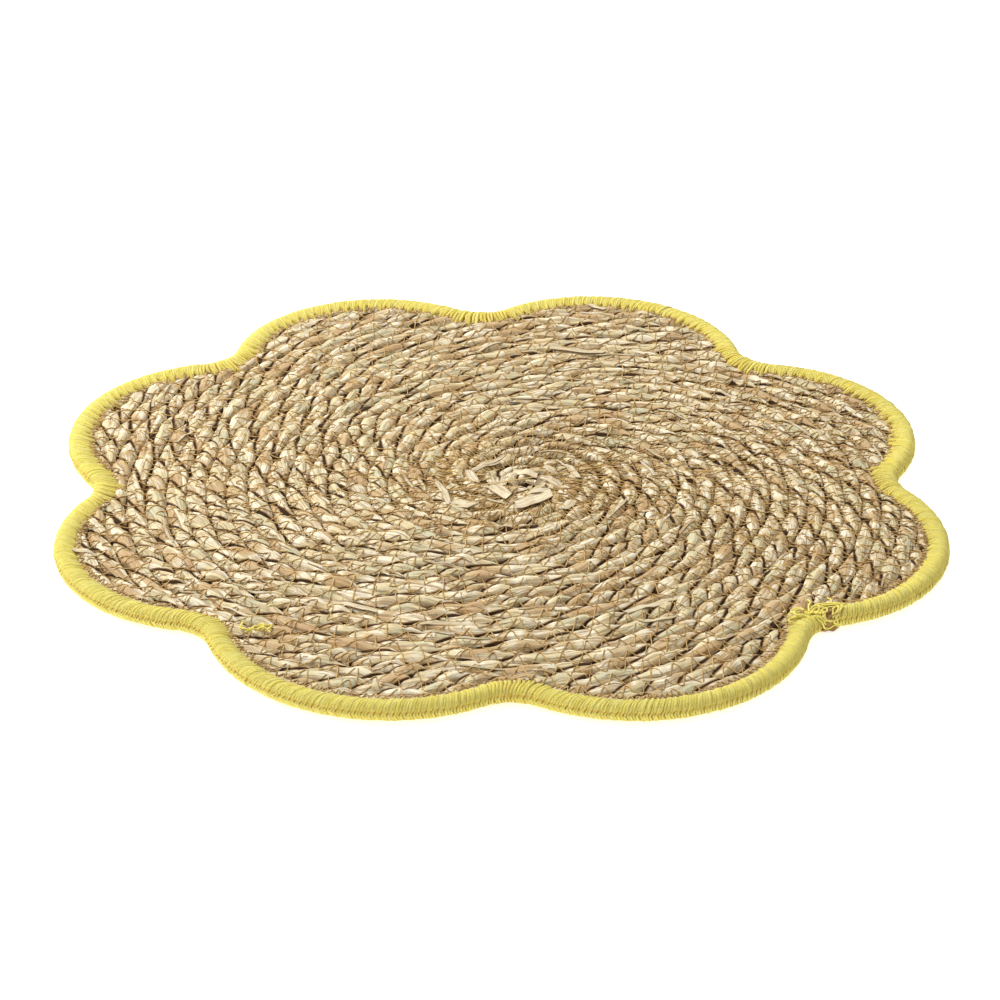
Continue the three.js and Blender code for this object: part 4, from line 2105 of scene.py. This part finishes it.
@dataclass
class JoinTails:
    """The ends of the binding's yarn at its join, curled over the mat, and a few loose bits.

    A route's points are millimetres along the outline from the join, into the mat, and up, and
    so are the sizes of the fan and of the fray.
    """

    outline: Outline
    radius: float = 0.4 * MM
    sides: int = 5
    steps: int = 12
    routes: tuple[tuple[Point, ...], ...] = (
        ((-7, 7, 7.5), (-8, 10, 8.8), (-9.5, 12, 8.6), (-10, 10, 8.2), (-8, 8.5, 8.4)),
        ((-6, 7, 8.0), (-5.5, 10.5, 9.0), (-7.5, 12.5, 8.6), (-8.8, 11, 8.8), (-7.2, 9, 9.0)),
        ((-8, 7.5, 7.6), (-10, 9, 8.4), (-11.5, 10.5, 8.0), (-12, 9, 7.8)),
        ((-5, 7, 8.6), (-3.5, 9.5, 9.0), (-1.5, 12, 8.4), (-1, 15, 7.8)),
        ((-5, 5.5, 8.6), (-3.5, 6.5, 9.2), (-1.5, 6, 9.3), (0, 4.5, 9.0), (-0.5, 3, 8.7), (-2.2, 3, 8.8)),
        ((-4, 4, 8.7), (-2.5, 5, 9.2), (-1, 7.5, 9.0), (-2.5, 8.5, 8.8), (-4, 7.5, 8.8)),
        ((-7.5, 6.5, 8.4), (-9, 8.5, 8.9), (-8.2, 11, 8.9), (-6.2, 10.6, 8.8), (-5.8, 8.6, 9.0)),
        ((8, 7, 7.6), (5, 6.5, 8.6), (2, 6.5, 8.9), (-0.5, 7.5, 8.8)),
        ((10, 7.5, 7.2), (6, 7.6, 8.3), (2.5, 8.4, 8.4), (-1.5, 9.4, 8.6)),
        ((3, 8, 8.0), (3.5, 10, 8.8), (3, 12, 8.6)),
        ((-4, 0.9, 6.6), (-1.5, 0.3, 6.2), (1.5, 0.4, 5.4), (4, 0.9, 5.9)),
        ((-4, 4, 8.5), (-1.5, 4.6, 8.9), (1.5, 5.2, 8.7), (4, 4.6, 8.5)),
        ((-4, 1, 3.6), (-1.2, 0.2, 2.6), (1.4, 0.3, 3.4), (4, 0.8, 3.0)),
    )
    fan: int = 9
    fan_points: int = 5
    fan_rim: Rim = Rim(4.3, 4.3, 4.3, 4.2, 0.0, 8.9)
    fan_foot: Pair = (0.2, 4.0)
    fan_head: Pair = (1.0, 6.5)
    fan_start: Pair = (-0.4, 1.5)
    fan_turn: Pair = (0.7, 1.3)
    fan_reach: Pair = (1.0, 1.06)
    fan_uneven: float = 0.3
    fan_seed: int = 92
    frayed: int = 210
    fray_radius: float = 0.24 * MM
    fray_points: int = 4
    fray_rim: Rim = Rim(4.4, 4.2, 4.2, 3.9, 0.6, 8.6)
    fray_angle: Pair = (-0.9, 2.7)
    fray_reach: Pair = (0.82, 1.0)
    fray_drift: float = 0.35
    fray_middle: Pair = (-1.5, 1.5)
    fray_half: Pair = (1.4, 3.0)
    fray_seed: int = 91
    least_depth: float = 0.5
    bits: tuple[Leaf, ...] = (
        Leaf(-95, -126, -30, 5),
        Leaf(-92, -125, 35, 5),
        Leaf(-89, -127, -10, 6),
        Leaf(-87, -125, 62, 4),
        Leaf(-97, -123, 75, 5),
        Leaf(-90, -124, -58, 4),
        Leaf(-88, -123, 10, 6),
        Leaf(-93, -127, 20, 5),
    )
    bit_bow: float = 1.2
    bit_height: float = 7.7 * MM
    bit_arch: float = 0.8 * MM

    def _route(self, points: Sequence[Point] | Rows) -> Rows:
        """A smooth line through a route's points, in the row frame.

        Args:
            points: The route's points in millimetres.

        Returns:
            Rows of x, y and z.
        """
        knots = np.array(points, float) * MM
        places = np.linspace(0, len(knots) - 1, self.steps)
        left = np.minimum(places.astype(int), len(knots) - 2)
        share = (places - left)[:, None]
        padded = np.vstack([2 * knots[0] - knots[1], knots, 2 * knots[-1] - knots[-2]])
        before, first, second, after = (padded[left + step] for step in range(4))
        curved = first + share * (second - before) / 2
        curved = curved + share**2 * (before - 2.5 * first + 2 * second - after / 2)
        curved = curved + share**3 * (1.5 * (first - second) + (after - before) / 2)
        found = self.outline.at(curved[:, 0])
        return np.column_stack([found.base - found.outward * curved[:, 1:2], curved[:, 2]])

    def _yarn(self, name: str, lines: list[Rows], radius: float, material: Material) -> Object:
        """Round yarn along each of the lines.

        Args:
            name: The piece's name.
            lines: Each line's points.
            radius: The yarn's radius.
            material: Its finish.

        Returns:
            The piece.
        """
        runs = np.repeat(np.arange(len(lines)), self.steps)
        along = np.tile(np.arange(self.steps) * MM, len(lines))
        shape = Shape(name, self, radius=radius)
        shape.thread(shape.curve(shape.source()), shape.size("radius"), self.sides, material)
        source = path_mesh(name + "_lines", np.concatenate(lines), runs, along=along, strip=runs)
        return shape.grow(name, source)

    def _fan(self) -> list[Rows]:
        """Slanting strands over the binding's two ends, so that neither ends in a clean cut.

        Returns:
            Each strand's points.
        """
        rng = np.random.default_rng(self.fan_seed)
        lines = []
        for number in range(2 * self.fan):
            side = 1 if number < self.fan else -1
            foot, head = side * rng.uniform(*self.fan_foot), side * rng.uniform(*self.fan_head)
            start = rng.uniform(*self.fan_start)
            turn = np.linspace(start, start + rng.uniform(*self.fan_turn), self.fan_points)
            depth, height = self.fan_rim.at(turn, rng.uniform(*self.fan_reach))
            along = np.linspace(foot, head, self.fan_points)
            along = along + rng.normal(0, self.fan_uneven, self.fan_points)
            lines.append(self._route(np.column_stack([along, depth, self.fan_rim.within(height)])))
        return lines

    def build(self, material: Material) -> Object:
        """Makes the tails and the bits.

        Args:
            material: Their finish.

        Returns:
            The piece.
        """
        lines = [self._route(route) for route in self.routes] + self._fan()
        share = np.linspace(-0.5, 0.5, self.steps)
        height = self.bit_height + self.bit_arch * np.cos(share * 4)
        for number, bit in enumerate(self.bits):
            # To the left, straight or to the right by turns
            bow = np.cos(share * math.pi) * (number % 3 - 1) * self.bit_bow
            lines.append(np.column_stack([bit.plan(share, bow), height]))
        return self._yarn("join_tails", lines, self.radius, material)

    def build_fray(self, material: Material) -> Object:
        """Makes the frayed brown fibres between the binding's two ends.

        Args:
            material: Their finish.

        Returns:
            The piece.
        """
        rng = np.random.default_rng(self.fray_seed)
        lines = []
        for _ in range(self.frayed):
            depth, height = self.fray_rim.at(rng.uniform(*self.fray_angle), rng.uniform(*self.fray_reach))
            sway, lift = rng.normal(0, self.fray_drift, (self.fray_points, 2)).cumsum(axis=0).T
            middle, half = rng.uniform(*self.fray_middle), rng.uniform(*self.fray_half)
            along = np.linspace(middle - half, middle + half, self.fray_points)
            depth = np.maximum(self.least_depth, depth + sway)
            height = self.fray_rim.within(height + lift)
            lines.append(self._route(np.column_stack([along, depth, height])))
        return self._yarn("join_fray", lines, self.fray_radius, material)


@dataclass
class Studio:
    """Camera, floor and light."""

    look: Point = (0.72 * MM, -13.65 * MM, 4.6 * MM)
    elevation: float = 28.56
    roll: float = 1.014
    distance: float = 1.399
    lens: float = 122.49
    sensor: float = 36.0
    floor_half: float = 9.0
    sky: float = 0.56
    lamp_power: float = 26.0
    lamp_size: float = 1.0
    lamp_place: Point = (-0.8, 0.5, 1.1)

    def camera(self) -> None:
        """Adds the camera and makes it the scene's."""
        data = bpy.data.cameras.new("camera")
        data.lens = self.lens
        data.sensor_width = self.sensor
        camera = bpy.data.objects.new("camera", data)
        bpy.context.scene.collection.objects.link(camera)
        tilt = math.radians(self.elevation)
        ahead = Vector((0, math.cos(tilt), -math.sin(tilt)))
        right, up = Vector((1, 0, 0)), Vector((0, math.sin(tilt), math.cos(tilt)))
        turn = math.radians(self.roll)
        rolled_right = right * math.cos(turn) + up * math.sin(turn)
        rolled_up = up * math.cos(turn) - right * math.sin(turn)
        frame = Matrix((rolled_right, rolled_up, -ahead)).transposed().to_4x4()
        frame.translation = Vector(self.look) - ahead * self.distance
        camera.matrix_world = frame
        bpy.context.scene.camera = camera

    def floor(self, material: Material) -> None:
        """Adds the tabletop, just under the mat.

        Args:
            material: Its finish.
        """
        half = self.floor_half
        mesh = bpy.data.meshes.new("floor")
        corners = [(-half, -half, 0), (half, -half, 0), (half, half, 0), (-half, half, 0)]
        mesh.from_pydata(corners, [], [(0, 1, 2, 3)])
        add_object("floor", mesh, material)

    def light(self) -> None:
        """Adds an even white sky and one big soft lamp from the left and behind."""
        world = bpy.data.worlds.new("sky")
        world.use_nodes = True
        sky = world.node_tree.nodes["Background"]
        sky.inputs["Color"].default_value = (1.0, 1.0, 1.0, 1.0)
        sky.inputs["Strength"].default_value = self.sky
        bpy.context.scene.world = world
        data = bpy.data.lights.new("soft_lamp", "AREA")
        data.size = self.lamp_size
        data.energy = self.lamp_power
        lamp = bpy.data.objects.new("soft_lamp", data)
        bpy.context.scene.collection.objects.link(lamp)
        lamp.location = self.lamp_place
        lamp.rotation_mode = "QUATERNION"
        lamp.rotation_quaternion = (-lamp.location).to_track_quat("-Z", "Y")
        bpy.context.scene.view_settings.view_transform = "Standard"


def joined_copy(name: str, pieces: Sequence[Object]) -> Object:
    """One object with the faces of several, for other pieces to be laid on.

    Args:
        name: The object's name.
        pieces: What it is made of.

    Returns:
        The object.
    """
    body = bmesh.new()
    for piece in pieces:
        body.from_mesh(piece.data)
    mesh = bpy.data.meshes.new(name)
    body.to_mesh(mesh)
    body.free()
    return add_object(name, mesh)


def attach(piece: Object, slot: str, *nodes: str) -> None:
    """Ties a piece to its body and hides the frame's nodes that it stands for.

    Args:
        piece: The piece.
        slot: The record's material slot. It is not used.
        nodes: The nodes that it replaces.
    """
    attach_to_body(piece, BODY)
    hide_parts(*nodes)
    piece.data.calc_loop_triangles()
    LOG.info("%s: %d triangles", piece.name, len(piece.data.loop_triangles))


def main() -> None:
    """Builds the mat piece by piece round the frame."""
    logging.basicConfig(level=logging.INFO, format="%(message)s")
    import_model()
    studio = Studio()
    studio.camera()
    studio.floor(PaleFloor().paint())
    studio.light()

    outline = Outline()
    coil = Coil(outline)
    leaf = Seagrass().paint()
    cotton = YellowCotton().paint()
    thread = SewingThread().paint()
    rope = SeagrassRope(coil).build(leaf, Press(coil))
    core = CoilCore(coil)
    # The slab's dark brown is painted shade in the gaps between the turns
    slab = core.build(CrushedLeafAndShade().paint())
    band_maker = CrushedBand(outline)
    band = band_maker.build(leaf)
    binding = EdgeBinding(outline).build(cotton)
    bed = joined_copy("bed", [*rope, band, slab])
    whole_bed = joined_copy("whole_bed", [bed, *binding])
    leaves = LooseLeaves(coil).build(whole_bed, leaf)
    bpy.data.objects.remove(whole_bed)
    sewing = ZigzagSeam(coil)
    seam = sewing.build("seam_thread", sewing.line(), sewing.reach, bed, thread)
    again = sewing.build("seam_again", sewing.line(again=True), sewing.reach, bed, thread)
    edge_seam = sewing.build("edge_seam", band_maker.seam_line(), band_maker.stitch_reach, bed, thread)
    fibres = StrayFibres(coil).build(bed, thread)
    bpy.data.objects.remove(bed)
    join = JoinTails(outline)
    tails = join.build(YellowCotton("loose_cotton", hair_depth=0.05 * MM).paint())
    fray = join.build_fray(thread)

    for piece in (slab, *rope, band, seam, again, edge_seam, leaves, fibres):
        attach(piece, "seagrass", "coil_mat")
    for piece in (*binding, tails, fray):
        attach(piece, "yellow_cotton", "edge_binding")
    core.area


if __name__ == "__main__":
    main()
